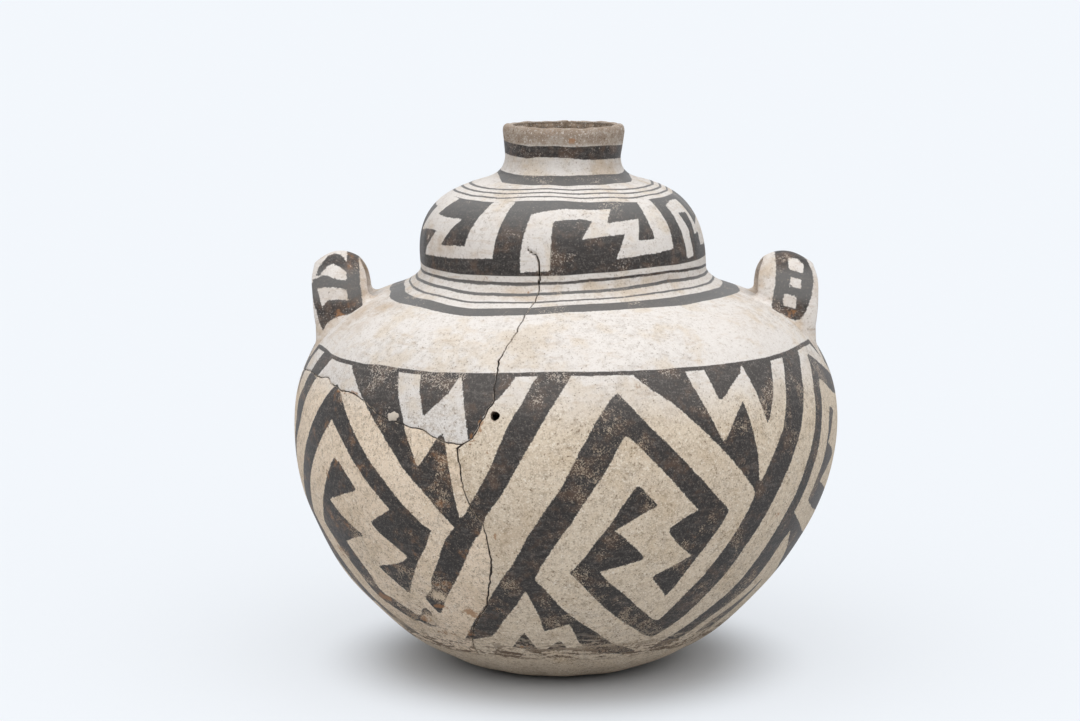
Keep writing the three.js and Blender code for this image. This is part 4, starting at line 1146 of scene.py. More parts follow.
def rim():
    """Rounded lip turned round the mouth: the wall's outside, the lip's curve over the top and the
    mouth's inside, worn down along the section's own normal by 0.35 + 0.3 sin(3a + 0.6) sin(5a) +
    0.16 sin(17a + 2) and by seeded nicks, but never by more than 1.3."""
    azimuth = np.linspace(-180, 180, RIM_COLUMNS + 1)[:-1]
    up = np.linspace(RIM_JOINT, TOTAL_LENGTH, 8)
    side = np.stack([radius_at(up), height_at(up)], -1)
    mouth = RIM_RADIUS - WALL
    lip_inner = (mouth + LIP_EDGE_RADIUS / 2, LIP_HEIGHT)
    lip_outer = (lip_inner[0] + LIP_FLAT, LIP_HEIGHT)
    outer_edge = bezier(
        (RIM_RADIUS, RIM_HEIGHT), (RIM_RADIUS, LIP_HEIGHT - LIP_EDGE_RADIUS / 2),
        (mix(RIM_RADIUS, lip_outer[0], 0.5), LIP_HEIGHT), lip_outer, 9,
    )
    lip = np.linspace(lip_outer, lip_inner, 4)
    inner_edge = bezier(
        lip_inner, (mouth, LIP_HEIGHT), (mouth, LIP_HEIGHT - LIP_EDGE_RADIUS / 2),
        (mouth, LIP_HEIGHT - LIP_EDGE_RADIUS), 8,
    )
    foot_length = RIM_JOINT + JOINT_BEVEL
    foot = np.array([radius_at(foot_length) - WALL, height_at(foot_length)])
    inner_side_shade = np.linspace(inner_edge[-1], foot, 8)[1:]
    section = np.concatenate([side, outer_edge[1:], lip[1:], inner_edge[1:], inner_side_shade])
    point = np.arange(len(section))
    curve_end = len(section) - len(inner_side_shade)
    slope = np.gradient(section, axis=0)
    slope /= np.linalg.norm(slope, axis=1, keepdims=True)
    angle = np.radians(azimuth)[:, None]
    over = np.clip((section[:, 1] - RIM_HEIGHT) / LIP_WEAR_RISE, 0, 1)[None]
    place = np.broadcast_to(azimuth[:, None], (RIM_COLUMNS, len(section)))
    length = length_at(np.broadcast_to(section[:, 1], place.shape))
    wear = 0.35 + 0.3 * np.sin(3 * angle + 0.6) * np.sin(5 * angle) + 0.16 * np.sin(17 * angle + 2)
    nick = np.maximum(rough_line(azimuth + 180, LIP_NICKS, 3.0, 1.0) - 0.72, 0)[:, None] * 2.0
    depth = dent(place, length) * (1 - over) + over * np.clip(wear + nick, 0.05, 1.3)
    depth = depth * (point < curve_end)
    radius = section[None, :, 0] - slope[None, :, 1] * depth
    height = section[None, :, 1] + slope[None, :, 0] * depth
    points = np.stack([radius * np.sin(angle) + lean_at(height), -radius * np.cos(angle), height], -1)
    index = closed(np.arange(place.size).reshape(place.shape))
    closing = np.stack([index[1:, 0], index[:-1, 0], index[:-1, -1], index[1:, -1]], -1)
    values = surface_values(place.ravel(), length.ravel())
    inside = point > curve_end - len(inner_edge) + LIP_LOOK_POINTS
    values["plain"] = np.broadcast_to(inside, place.shape).ravel().astype(float)
    values["worn"] = np.maximum(values["worn"], np.broadcast_to(over, place.shape).ravel())
    normal = grid_normals(np.concatenate([points[-1:], points, points[:1]]))[1:-1]
    return make_mesh("rim", points.reshape(-1, 3), [quads(index), closing], values, normal.reshape(-1, 3))


# Old glue: seeded steps of its depth, how far it reaches past its crack's edges, and how far it
# stops short of the crack's ends, in mm or degrees
GLUE_STEP = 3.0
GLUE_UNEVEN = 0.45
GLUE_GRIP = 0.12
FRONT_GLUE_GRIP = 0.2
GLUE_STOP = 0.4


def glue_strip(name, azimuth, length, half, is_upright):
    """A thin closed bar of old glue along a crack: four corner lines, a half width to each side
    at a seeded depth below the outside and near the inside, closed by quads and two end faces."""
    shallow = GLUE_DEPTH + rough_line(np.arange(len(azimuth)), GLUE_SEED, GLUE_STEP, GLUE_UNEVEN)
    lines = []
    deep = WALL - GLUE_DEPTH
    for side, depth in ((-1, deep), (1, deep), (1, shallow), (-1, shallow)):
        if is_upright:
            place = (azimuth + side * np.degrees(half / radius_at(length)), length)
        else:
            place = (azimuth, length - side * half)
        lines.append(wall_point(*place, depth + dent(*place)))
    points = np.stack(lines, 1)
    index = np.arange(len(points) * 4).reshape(-1, 4)
    faces = [quads(closed(index.T).T), index[:1], index[-1:, ::-1]]
    return make_mesh(name, points.reshape(-1, 3), faces, {})


def glue_strips():
    up = np.linspace(BASE_JOINT + GLUE_STOP, LOBE_JOINT - GLUE_STOP, 240)
    half = front_gap(up, RIGHT_FRONT_CHIPS) + FRONT_GLUE_GRIP
    front = glue_strip("glue_front", front_azimuth(up), up, half, True)
    half = gap_half_width(up, RIGHT_REAR_CHIPS) + GLUE_GRIP
    rear = glue_strip("glue_rear", rear_azimuth(up), up, half, True)
    start = float(rear_azimuth(length_at(SIDE_CRACK_END))) + GLUE_STOP
    end = float(front_azimuth(length_at(SIDE_CRACK_START))) - GLUE_STOP
    across = np.linspace(start, end, 300)
    half = gap_half_width(np.radians(across) * BELLY_RADIUS, SIDE_UPPER_CHIPS) + GLUE_GRIP
    side = glue_strip("glue_side", across, side_crack_length(across), half, False)
    return front, side, rear


def filler():
    """Low lump of filling over a chip: rings round a middle, each a share of an uneven outline at a
    depth of its own. The last two, and the flat underside, lie inside the wall."""
    middle_azimuth, height = FILLER
    middle = float(length_at(height))
    angle = np.linspace(0, 2 * np.pi, 49)[:-1]
    outline = 1 + 0.16 * np.sin(2 * angle + 0.7) + 0.09 * np.sin(5 * angle) + 0.05 * np.sin(9 * angle + 2)
    shares = FILLER_SHARES[:, None]
    reach = shares * outline
    place_azimuth = middle_azimuth + np.degrees(FILLER_WIDTH * reach * np.cos(angle) / BELLY_RADIUS)
    place_length = middle + FILLER_RISE * reach * np.sin(angle)
    rough = 0.07 * np.sin(4 * angle + 7 * shares)
    depth = FILLER_DEPTHS[:, None] + rough + dent(place_azimuth, place_length)
    points = wall_point(place_azimuth, place_length, depth)
    tip_place = (np.full(2, middle_azimuth), np.full(2, middle))
    tips = wall_point(*tip_place, FILLER_TIPS + dent(*tip_place))
    index = closed(np.arange(reach.size).reshape(reach.shape).T).T
    faces = [quads(index), fan(index[0], reach.size), fan(index[-1, ::-1], reach.size + 1)]
    return make_mesh("filler", np.concatenate([points.reshape(-1, 3), tips]), faces, {})


def rounded_power(value):
    return np.sign(value) * np.abs(value) ** LUG_SQUARENESS


def wall_height(radius):
    """Height of the outside line between the belly and the lobe at a radius."""
    chosen = (LINE_LENGTH >= length_at(BELLY_HEIGHT)) & (LINE_LENGTH <= LOBE_JOINT)
    return np.interp(-radius, -LINE_RADIUS[chosen], LINE_HEIGHT[chosen])


def ground_height(x, y, hand):
    """Height of the real, dented wall at a place beside a lug: the even wall's, less the dent's
    depth over the upward share of the wall's normal."""
    height = wall_height(np.hypot(x, y))
    length = length_at(height)
    upward = -np.interp(length, LINE_LENGTH, LINE_OUTWARD)
    return height - dent(np.degrees(np.arctan2(hand * x, -y)), length) / np.maximum(upward, 0.3)


def strap_place(turn, angle, lug_width):
    """Outward, forward and upward place on the strap. turn runs over the arch from 0 at the front
    foot to pi, and angle round the strap's section: a width with rounded ends, narrower at the crown
    by LUG_CROWN_SHARE sin^6(turn), and a thickness bowed down by LUG_BOW (2 width / lug_width)^2."""
    half_span = (LUG_SPAN - LUG_THICKNESS) / 2
    foot = float(wall_height(np.array(LUG_RADIUS))) - WALL
    rise = LUG_TOP_HEIGHT - LUG_THICKNESS / 2 - foot
    reach = np.hypot(rise * np.cos(turn), half_span * np.sin(turn))
    out_y, out_z = -rise * np.cos(turn) / reach, half_span * np.sin(turn) / reach
    narrowing = 1 - LUG_CROWN_SHARE * np.sin(turn) ** 6
    width = lug_width / 2 * rounded_power(np.cos(angle)) * narrowing
    bow = LUG_BOW * (2 * width / lug_width) ** 2 * (1 + np.sin(angle)) / 2 * np.sin(turn)
    uneven = 0.25 * np.sin(5 * turn + 2 * angle) + 0.2 * np.sin(9 * turn - 3 * angle)
    thick = (LUG_THICKNESS / 2 - LUG_INSET) * rounded_power(np.sin(angle)) - bow + uneven * 0.6
    y = -half_span * np.cos(turn) + out_y * thick
    z = foot + rise * np.sin(turn) + out_z * thick - LUG_TILT * width * np.sin(turn)
    x = LUG_RADIUS + width + LUG_LEAN * (z - foot) / rise - LUG_LEAN / 2 + uneven * 0.5
    return x, y, z


def fillet_radius(angle):
    """Wide where the lug faces the neck, narrow where it faces away."""
    return mix(LUG_FILLET_INNER, LUG_FILLET_OUTER, (1 + np.cos(angle)) / 2)


def strap_start(angle, from_back, lug_width):
    """Turn at which each line along the strap rises out of its fillet, found by halving."""
    low, high = np.zeros(angle.shape), np.full(angle.shape, np.pi / 2)
    for _ in range(30):
        middle = (low + high) / 2
        x, y, z = strap_place(np.pi - middle if from_back else middle, angle, lug_width)
        is_clear = z > wall_height(np.hypot(x, y)) + fillet_radius(angle)
        low, high = np.where(is_clear, low, middle), np.where(is_clear, middle, high)
    return np.pi - high if from_back else high


def strap_fillet(turn, angle, lug_width, hand):
    """Rows that spread a leg into the wall. For t from 0 to 1 each point is moved outwards by
    R (1 - cos(t pi / 2)) and stands R (1 - sin(t pi / 2)) above the wall there, and the last row
    is sunk into the wall."""
    x, y, z = strap_place(turn, angle, lug_width)
    along = np.stack([np.roll(x, -1) - np.roll(x, 1), np.roll(y, -1) - np.roll(y, 1)])
    side = np.stack([along[1], -along[0]]) / np.linalg.norm(along, axis=0)
    centre = np.stack([x - x.mean(), y - y.mean()])
    side *= np.sign((side * centre).sum())
    t = np.append(np.linspace(0, 1, LUG_FILLET_ROWS + 1)[1:], 1.0)[:, None] * np.pi / 2
    sunk = np.append(np.zeros(LUG_FILLET_ROWS), LUG_SINK)[:, None]
    radius = fillet_radius(angle)[None]
    move = radius * (1 - np.cos(t)) + sunk * 0.3
    new_x, new_y = x + side[0] * move, y + side[1] * move
    return new_x, new_y, ground_height(new_x, new_y, hand) + radius * (1 - np.sin(t)) - sunk


# The ladder painted on each lug, as shapes of distance outwards from the lug's middle and height
LADDER_MIDDLE = 119.5
LADDER_LEFT = [
    [
        (-8, 231), (-2.2, 231), (-2, 222), (-2, 214), (-2.6, 205), (-3, 201), (-5, 197.8), (-10.8, 199.4),
        (-10.2, 205), (-9.2, 214), (-8.6, 222),
    ],
    [
        (-3, 222.8), (0.5, 227), (4, 228), (8, 226.8), (12.8, 221.4), (15, 216.5), (13, 216),
        (10.6, 219.4), (7.5, 222.2), (4.5, 222.8), (2, 221.6), (-3, 218.6),
    ],
    [
        (-3, 214.6), (2, 215), (6.5, 216.2), (10, 217.2), (13.2, 216), (17, 214.2), (17, 208.5),
        (11, 210.6), (5, 211), (-3, 209.6),
    ],
    [
        (-6, 205), (-2, 204.2), (3, 204.6), (8, 204), (11, 201), (11.2, 190.8), (9.7, 190.8),
        (5.8, 194.4), (0, 196.2), (-10.8, 199.4),
    ],
    [
        (19, 213), (17.2, 206), (14.4, 197), (12.2, 189.5), (11.2, 188), (8.8, 192.5), (10.2, 196.5),
        (12.6, 204), (14.6, 212),
    ],
]
LADDER_RIGHT = [
    [
        (-4.6, 232), (-3.7, 228), (-4, 220.3), (-5.7, 210.3), (-6.8, 205.8), (-8.1, 198), (-2.4, 197.5),
        (2, 194.7), (4.8, 193.5), (7.6, 193.5), (10.9, 197.5), (14.2, 205.8), (16.1, 213.6),
        (15.9, 218.7), (13.6, 224.2), (9.2, 229.3), (4.8, 231.8),
    ],
]
RUNG_WHITES_RIGHT = [
    [(2.8, 225.6), (8.1, 225.4), (11.4, 222.2), (10.3, 217.8), (6.5, 219.4), (3.1, 220.4)],
    [(3.4, 216.4), (9.2, 215), (8.7, 210.3), (2.3, 211.4)],
    [(-0.4, 207.6), (6.2, 206.1), (5.4, 199.4), (-2.2, 201.8)],
]


# Where the paint of a lug is worn and rusty, in mm: height and spread, and outwards for the rust.
# Lines of the strap are painted where the sine of their angle is over PAINTED_FROM, and are darker
# on the underside, below the second value. A lug also gets darker towards the wall, over the rise
# given, and painted shade on its inner side.
LUG_WORN = (198, 4)
LUG_RUST = (197, 4)
LUG_RUST_ACROSS = (3, 5)
LUG_DARKENING_RISE = 7
PAINTED_FROM = -0.15
DARKER_BELOW = -0.2

# A height below the belly's rings, at which shapes are drawn on a lug and no ring is
LUG_LEVEL_HEIGHT = 150.0


def strap_lug(name, is_right):
    """A strap carried over an arch from front to back, spread into the wall at both feet."""
    hand = 1 if is_right else -1
    angle = np.linspace(0, 2 * np.pi, LUG_LINES + 1)[:-1]
    lug_width = LUG_WIDTH_RIGHT if is_right else LUG_WIDTH_LEFT
    front, back = (strap_start(angle, from_back, lug_width) for from_back in (False, True))
    arch = strap_place(mix(front, back, np.linspace(0, 1, LUG_ROWS)[:, None]), angle, lug_width)
    front_foot, back_foot = (strap_fillet(turn, angle, lug_width, hand) for turn in (front, back))
    parts = zip(front_foot, arch, back_foot)
    x, y, z = (np.concatenate([start[::-1], middle, end]) for start, middle, end in parts)
    points = np.stack([hand * x + lean_at(z), y, z], -1)
    index = np.arange(x.size).reshape(x.shape)
    faces = [quads(closed(index.T).T), index[:1], index[-1:, ::-1]]
    if not is_right:
        faces = [group[:, ::-1] for group in faces]
    across = x - LADDER_MIDDLE
    shapes, whites = (LADDER_RIGHT, RUNG_WHITES_RIGHT) if is_right else (LADDER_LEFT, [])
    paint = np.full(x.shape, -REACH)
    for shape in shapes:
        paint = np.maximum(paint, outline_distance(np.array(shape, float), across, z))
    for shape in whites:
        paint = np.minimum(paint, -outline_distance(np.array(shape, float), across, z))
    top_side = np.broadcast_to(np.sin(angle), x.shape)
    inner_side_shade = np.clip(-2 * np.cos(angle) - 1, 0, 1)
    near_wall = np.exp((wall_height(np.hypot(x, y)) - z) / LUG_DARKENING_RISE)
    worn = bell((z - LUG_WORN[0]) / LUG_WORN[1])
    rust = bell((z - LUG_RUST[0]) / LUG_RUST[1]) * bell((across - LUG_RUST_ACROSS[0]) / LUG_RUST_ACROSS[1])
    # Darker on the underside and towards the wall, and painted shade on the inner side, which faces the
    # neck.
    stain_and_shade = 0.35 + 0.5 * (top_side < DARKER_BELOW) + 0.9 * near_wall + 0.5 * inner_side_shade
    values = {
        "paint": np.where(top_side > PAINTED_FROM, paint, -REACH),
        "level": np.full(x.shape, float(length_at(LUG_LEVEL_HEIGHT))),
        "crack": np.full(x.shape, CRACK_FAR),
        "stain_and_shade": np.clip(stain_and_shade, 0, 1),
        "worn": 0.2 + 0.35 * worn,
        "rust": 0.8 * rust,
        "plain": np.zeros(x.shape),
    }
    flat_values = {key: array.ravel() for key, array in values.items()}
    return make_mesh(name, points.reshape(-1, 3), faces, flat_values)


class Value:
    """A shader socket with arithmetic: an expression on values adds the Math nodes for it."""

    def __init__(self, tree, socket):
        self.tree = tree
        self.socket = socket

    def math(self, operation, *others):
        return self.tree.node("ShaderNodeMath", {"operation": operation}, dict(enumerate((self, *others))))

    def __add__(self, other):
        return self.math("ADD", other)

    def __sub__(self, other):
        return self.math("SUBTRACT", other)

    def __rsub__(self, other):
        return self.tree.node("ShaderNodeMath", {"operation": "SUBTRACT"}, {0: other, 1: self})

    def __mul__(self, other):
        return self.math("MULTIPLY", other)

    __radd__ = __add__
    __rmul__ = __mul__

    def at_least(self, other):
        return self.math("MAXIMUM", other)

    def at_most(self, other):
        return self.math("MINIMUM", other)

    def absolute(self):
        return self.math("ABSOLUTE")


class Shader:
    """The node tree of a material or a world. node() adds any node: settings first, then sockets."""

    def __init__(self, owner):
        self.owner = owner
        owner.use_nodes = True
        self.nodes = owner.node_tree.nodes
        self.links = owner.node_tree.links
        self.nodes.clear()

    def node(self, kind, settings, sockets, output=0):
        made = self.nodes.new(kind)
        for key, setting in settings.items():
            setattr(made, key, setting)
        for key, value in sockets.items():
            if isinstance(value, Value):
                self.links.new(value.socket, made.inputs[key])
            else:
                made.inputs[key].default_value = value
        return Value(self, made.outputs[output]) if made.outputs else None

    def attribute(self, name):
        return self.node("ShaderNodeAttribute", {"attribute_name": name}, {}, "Fac")

    def place(self):
        return self.node("ShaderNodeTexCoord", {}, {}, "Object")

    def noise(self, place, scale, detail, roughness):
        sockets = {"Vector": place, "Scale": scale, "Detail": detail, "Roughness": roughness}
        return self.node("ShaderNodeTexNoise", {}, sockets, "Fac")

    def stretched(self, place, scale):
        return self.node("ShaderNodeVectorMath", {"operation": "MULTIPLY"}, {0: place, 1: scale}, "Vector")

    def smooth(self, value, low, high):
        sockets = {"Value": value, "From Min": low, "From Max": high}
        return self.node("ShaderNodeMapRange", {"interpolation_type": "SMOOTHSTEP"}, sockets)

    def colour(self, start, end, share):
        """A colour between two, which are RGB triples or values."""
        settings = {"data_type": "RGBA", "clamp_factor": True}
        first, second = ((*part, 1.0) if isinstance(part, tuple) else part for part in (start, end))
        return self.node("ShaderNodeMix", settings, {"Factor": share, 6: first, 7: second}, 2)

    def layered(self, colour, layers):
        """A colour with others laid over it in turn, each with the share of it that shows."""
        for over, share in layers:
            colour = self.colour(colour, over, share)
        return colour

    def seen_directly(self):
        """1 for rays of the camera and for reflections, which see the studio as it looks."""
        by_camera = self.node("ShaderNodeLightPath", {}, {}, "Is Camera Ray")
        return by_camera.at_least(self.node("ShaderNodeLightPath", {}, {}, "Is Glossy Ray"))

    def finish(self, sockets, height, bump_distance):
        """Principled surface from its socket values, with a bump from a height in 0 to 1."""
        bump = {"Height": height, "Distance": bump_distance, "Strength": BUMP_STRENGTH}
        normal = self.node("ShaderNodeBump", {}, bump)
        surface = self.node("ShaderNodeBsdfPrincipled", {}, {**sockets, "Normal": normal})
        self.node("ShaderNodeOutputMaterial", {}, {"Surface": surface})
        return self.owner


CLAY_SPECULAR = 0.3
BUMP_STRENGTH = 0.6
CLAY_BUMP = 0.0004
GLUE_BUMP = 0.0002
FILLER_BUMP = 0.0003

# Heights in metres from where to where a look comes in or goes out, from the base up
BARE_BASE_ENDS = (0.008, 0.026)
SMEAR_STARTS = (0.0205, 0.0235)
SMEAR_THINS = (0.0265, 0.036)
STREAKS_END = (0.031, 0.044)
SMEAR_ENDS = (0.036, 0.046)
WARM_SLIP_ENDS = (0.15, 0.182)
UPPER_BELLY_STARTS = (0.155, 0.17)
UPPER_BELLY_ENDS = (0.19, 0.2)
LEDGE_STARTS = (0.2, 0.207)
LOBE_STARTS = (0.2, 0.21)
LEDGE_ENDS = (0.217, 0.224)
DOME_STARTS = (0.238, 0.262)
NECK_STARTS = (0.262, 0.275)
NECK_SHADE_STARTS = (0.268, 0.276)
DOME_ENDS = (0.27, 0.276)
LIP_STARTS = (0.287, 0.2905)

# Colours, linear
SLIP_WARM = (0.72, 0.615, 0.485)
SLIP_GREY = (0.72, 0.685, 0.655)
SLIP_TAN = (0.84, 0.70, 0.55)
SLIP_COMMON = (0.745, 0.705, 0.67)
# Tan of stains, and of the painted shade that some marks carry
TAN_STAIN_AND_SHADE = (0.42, 0.28, 0.155)
# Grey of stains, and of the painted shade on the neck
GREY_STAIN_AND_SHADE = (0.36, 0.33, 0.30)
BLOTCH_TAN = (0.62, 0.49, 0.33)
GRAIN_BROWN = (0.34, 0.26, 0.185)
BARE_CLAY = (0.52, 0.43, 0.33)
INSIDE_CLAY = (0.3, 0.225, 0.165)
INSIDE_DARK = (0.12, 0.085, 0.06)
RIM_CLAY = (0.30, 0.232, 0.18)
CHALK = (0.9, 0.86, 0.8)
SPECK_BROWN = (0.14, 0.08, 0.045)
RUST = (0.33, 0.155, 0.06)
PAINT_BLACK = (0.026, 0.022, 0.02)
PAINT_BROWN = (0.105, 0.066, 0.045)
# Grey of the painted sheen on dark paint that faces the light
PAINT_SHEEN_GREY = (0.13, 0.127, 0.123)
# Dust on the paint, and the painted sheen of the upper belly
PAINT_DUST_AND_SHEEN = (0.20, 0.18, 0.165)
CRACK_DARK = (0.012, 0.008, 0.006)
BROKEN_CLAY = (0.5, 0.42, 0.33)
GLUE_DARK = (0.01, 0.006, 0.004)
GLUE_BROWN = (0.05, 0.028, 0.015)
FILLER_PALE = (0.60, 0.53, 0.45)
FILLER_TAN = (0.36, 0.28, 0.2)
FILLER_PIT = (0.16, 0.1, 0.06)


class Clay(Shader):
    """Slipped and painted clay. The attributes of the mesh and the noises, from broad to fine, are
    made once and shared by all the layers of its look."""

    def __init__(self, name):
        super().__init__(bpy.data.materials.new(name))
        place = self.place()
        self.paint, self.level = self.attribute("paint"), self.attribute("level")
        self.crack, self.stain_and_shade = self.attribute("crack"), self.attribute("stain_and_shade")
        self.worn, self.rust = self.attribute("worn"), self.attribute("rust")
        self.plain = self.attribute("plain")
        self.height = self.node("ShaderNodeSeparateXYZ", {}, {0: place}, "Z")
        self.broad = self.noise(place, 20, 3, 0.55)
        self.cloud = self.noise(place, 75, 4, 0.6)
        self.mottle = self.noise(place, 230, 3, 0.6)
        self.grain = self.noise(place, 520, 4, 0.7)
        self.fine = self.noise(place, 1150, 3, 0.75)
        self.brushed = self.noise(self.stretched(place, (1.0, 1.0, 5.0)), 110, 3, 0.6)
        self.wobble = (self.noise(place, 120, 2, 0.5) - 0.5) * 1.4 + (self.grain - 0.5) * 1.2
        self.specks = self.smooth(self.grain * 0.35 + self.fine * 0.65 + self.broad * 0.1, 0.635, 0.68)

    def above(self, zone):
        return self.smooth(self.height, *zone)

    def below(self, zone):
        return 1 - self.above(zone)

    def above_uneven(self, zone, unevenness):
        """Like above(), but the zone wavers by half the unevenness up and down, in metres."""
        return self.smooth(self.height + (self.cloud - 0.5) * unevenness, *zone)

    def drawn(self):
        """Signed distance in mm to the ragged edge of all paint, positive in it. A ring's is its half
        width less the distance of the level from its middle. The shapes count where the level lies
        in the lobe's zone or below the top of the belly's painting."""
        ragged = (self.grain - 0.5) * 1.6 + (self.fine - 0.5) * 2.2
        level = self.level + self.wobble * 0.5
        rings = None
        for low, high in RINGS:
            middle = float(length_at((low + high) / 2))
            half = float(length_at(high) - length_at(low)) / 2
            ring = half - (level - middle).absolute()
            rings = ring if rings is None else rings.at_least(ring)
        zone_low, zone_high = (float(length_at(height)) for height in LOBE_ZONE)
        zone = (self.level - zone_low).at_most(zone_high - self.level)
        belly = float(length_at(BELLY_PAINT_TOP)) - self.level
        shapes = (self.paint + self.wobble * 0.6 + ragged * 0.7).at_most(zone.at_least(belly))
        return shapes.at_least(rings + ragged * 0.25)

    def cover(self):
        """How fully the paint covers the slip, from 0 to 1: less where it is worn, in pale flecks
        and in streaks near the base, and kept better the higher it is on the jar."""
        kept = self.above(UPPER_BELLY_STARTS) * 0.013 + self.above(LOBE_STARTS) * 0.01
        kept = kept + self.above(NECK_STARTS) * 0.025
        patches = self.smooth(self.broad * 0.5 + self.cloud * 0.5, 0.47, 0.62)
        wear = self.worn * 0.85 + patches * 0.22 - kept * 3
        loss = self.smooth(wear + (self.grain - 0.5) * 1.3 + (self.fine - 0.5) * 0.9, 0.62, 0.8)
        flecks = self.fine * 0.7 + self.grain * 0.3 + patches * 0.1 + self.worn * 0.08 - kept
        streaks = self.smooth(self.brushed * 0.6 + self.grain * 0.4, 0.475, 0.56) * self.below(STREAKS_END)
        drawn = self.smooth(self.drawn(), -0.25, 0.25) * (1 - self.plain)
        left = (1 - loss * 0.9) * (1 - self.smooth(flecks, 0.6, 0.645) * 0.8)
        return drawn * left * (1 - streaks * 0.85)

    def ground(self, slip):
        """Colour of the clay beside the paint. The slip is warm on the belly and pale above it, and
        bare clay shows at the base and on the lip. Stains with some painted shade among them, a grey
        painted shade on the neck, grit, chalky flecks and brown specks lie over it, and a smear of thin
        paint round the foot."""
        warm = 1 - self.above_uneven(WARM_SLIP_ENDS, 0.03)
        bare = 1 - self.above_uneven(BARE_BASE_ENDS, 0.02)
        kept_slip = self.smooth(self.mottle * 0.6 + self.cloud * 0.4, 0.46, 0.62) * 0.45
        lip = self.above_uneven(LIP_STARTS, 0.006) * (1 - kept_slip)
        inside = self.colour(INSIDE_CLAY, INSIDE_DARK, self.smooth(self.mottle, 0.42, 0.6))
        weathered = warm.at_least(lip).at_least(self.plain) * 0.65 + 0.35
        gritty = self.smooth(self.mottle * 0.25 + self.grain * 0.3 + self.fine * 0.45, 0.465, 0.61)
        chalky = 1 - self.smooth(self.grain * 0.3 + self.fine * 0.7, 0.38, 0.46)
        smear = self.above(SMEAR_STARTS) * (1 - self.above(SMEAR_THINS) * 0.85) * self.below(SMEAR_ENDS)
        brush = self.smooth(self.brushed * 0.5 + self.grain * 0.3 + self.cloud * 0.2, 0.475, 0.545)
        return self.layered(SLIP_COMMON, [
            (slip, warm),
            # Stains, and the painted shade that some marks and the lugs carry
            (TAN_STAIN_AND_SHADE, self.stain_and_shade * self.smooth(self.cloud, 0.3, 0.68) * 0.62),
            (GREY_STAIN_AND_SHADE, self.smooth(self.broad * 0.6 + self.mottle * 0.4, 0.48, 0.7) * 0.3),
            (TAN_STAIN_AND_SHADE, self.smooth(self.brushed, 0.52, 0.75) * 0.3),
            (BLOTCH_TAN, self.smooth(self.cloud * 0.6 + self.broad * 0.4, 0.49, 0.62) * 0.35),
            # Painted shade: the neck is greyed from this height up, as its upright wall turns from the
            # light.
            (GREY_STAIN_AND_SHADE, self.above(NECK_SHADE_STARTS) * 0.2),
            (BARE_CLAY, bare * 0.7),
            (RIM_CLAY, lip),
            (inside, self.plain),
            (GRAIN_BROWN, gritty * weathered * 0.66),
            (CHALK, chalky * weathered * 0.6),
            (SPECK_BROWN, self.specks * (weathered * 0.6 + 0.35)),
            (PAINT_BROWN, smear * brush * 0.85),
        ])

    def ink(self, rustiness):
        """Colour of the paint: black, brown where it is thin, a painted sheen of grey on the ledge and on
        the dome's top, which face the light, and dusty, with a painted sheen on the upper belly as well."""
        thin = self.smooth(self.cloud * 0.55 + self.mottle * 0.45 + self.worn * 0.15, 0.47, 0.64)
        rusty = self.smooth(self.mottle * 0.5 + self.cloud * 0.5, 0.55, 0.66)
        # Painted sheen: the paint turns grey on the ledge and the dome's top, where they face the light.
        ledge = self.above(LEDGE_STARTS) * self.below(LEDGE_ENDS)
        sheen_facing_up = ledge.at_least(self.above(DOME_STARTS) * self.below(DOME_ENDS))
        dust_and_sheen = self.smooth(self.fine * 0.6 + self.grain * 0.4, 0.48, 0.62) * 0.45
        dust_and_sheen = dust_and_sheen + self.smooth(self.brushed, 0.5, 0.7) * 0.2
        # Painted sheen: the paint is lighter on the upper belly, which faces the light more.
        dust_and_sheen = dust_and_sheen + self.above(UPPER_BELLY_STARTS) * self.below(UPPER_BELLY_ENDS) * 0.14
        return self.layered(PAINT_BLACK, [
            (PAINT_BROWN, thin * 0.75),
            (RUST, rusty * rustiness),
            (PAINT_SHEEN_GREY, sheen_facing_up * 0.9),
            (PAINT_DUST_AND_SHEEN, dust_and_sheen),
        ])


def painted_clay(name, slip, rustiness=0.0):
    """Clay with its paint over the ground, rust marks, and chipped, dark edges at the cracks. The
    paint and the brushed slip stand out a little, and the paint is smoother."""
    clay = Clay(name)
    dark = clay.cover()
    rusty = clay.smooth(clay.rust + (clay.grain - 0.5) * 1.1 + (clay.mottle - 0.5) * 1.2, 0.5, 0.85)
    chips = (clay.grain - 0.5) * 1.2 + (clay.mottle - 0.56) * 3.5
    chipped = clay.smooth(0.7 - clay.crack + chips, 0.0, 0.4)
    colour = clay.layered(clay.ground(slip), [
        (clay.ink(rustiness), dark),
        (RUST, rusty * 0.7),
        (BROKEN_CLAY, chipped * (1 - clay.plain) * 0.6),
        (CRACK_DARK, (1 - clay.smooth(clay.crack, 0.14, 0.5)) * 0.9),
    ])
    relief = clay.grain * 0.5 + clay.fine * 0.3 + clay.brushed * 0.35 + clay.mottle * 0.4
    relief = relief + dark * 0.12 - clay.specks * 0.5
    roughness = 0.8 - dark * 0.27 + (clay.grain - 0.5) * 0.12
    sockets = {"Base Color": colour, "Roughness": roughness, "Specular IOR Level": CLAY_SPECULAR}
    return clay.finish(sockets, relief, CLAY_BUMP)


def glue_finish():
    """Old adhesive: brown, unevenly dark, a little glossy."""
    shader = Shader(bpy.data.materials.new("old_adhesive"))
    cloud = shader.noise(shader.place(), 300, 3, 0.6)
    colour = shader.colour(GLUE_DARK, GLUE_BROWN, shader.smooth(cloud, 0.4, 0.75))
    return shader.finish({"Base Color": colour, "Roughness": 0.5 + cloud * 0.3}, cloud, GLUE_BUMP)


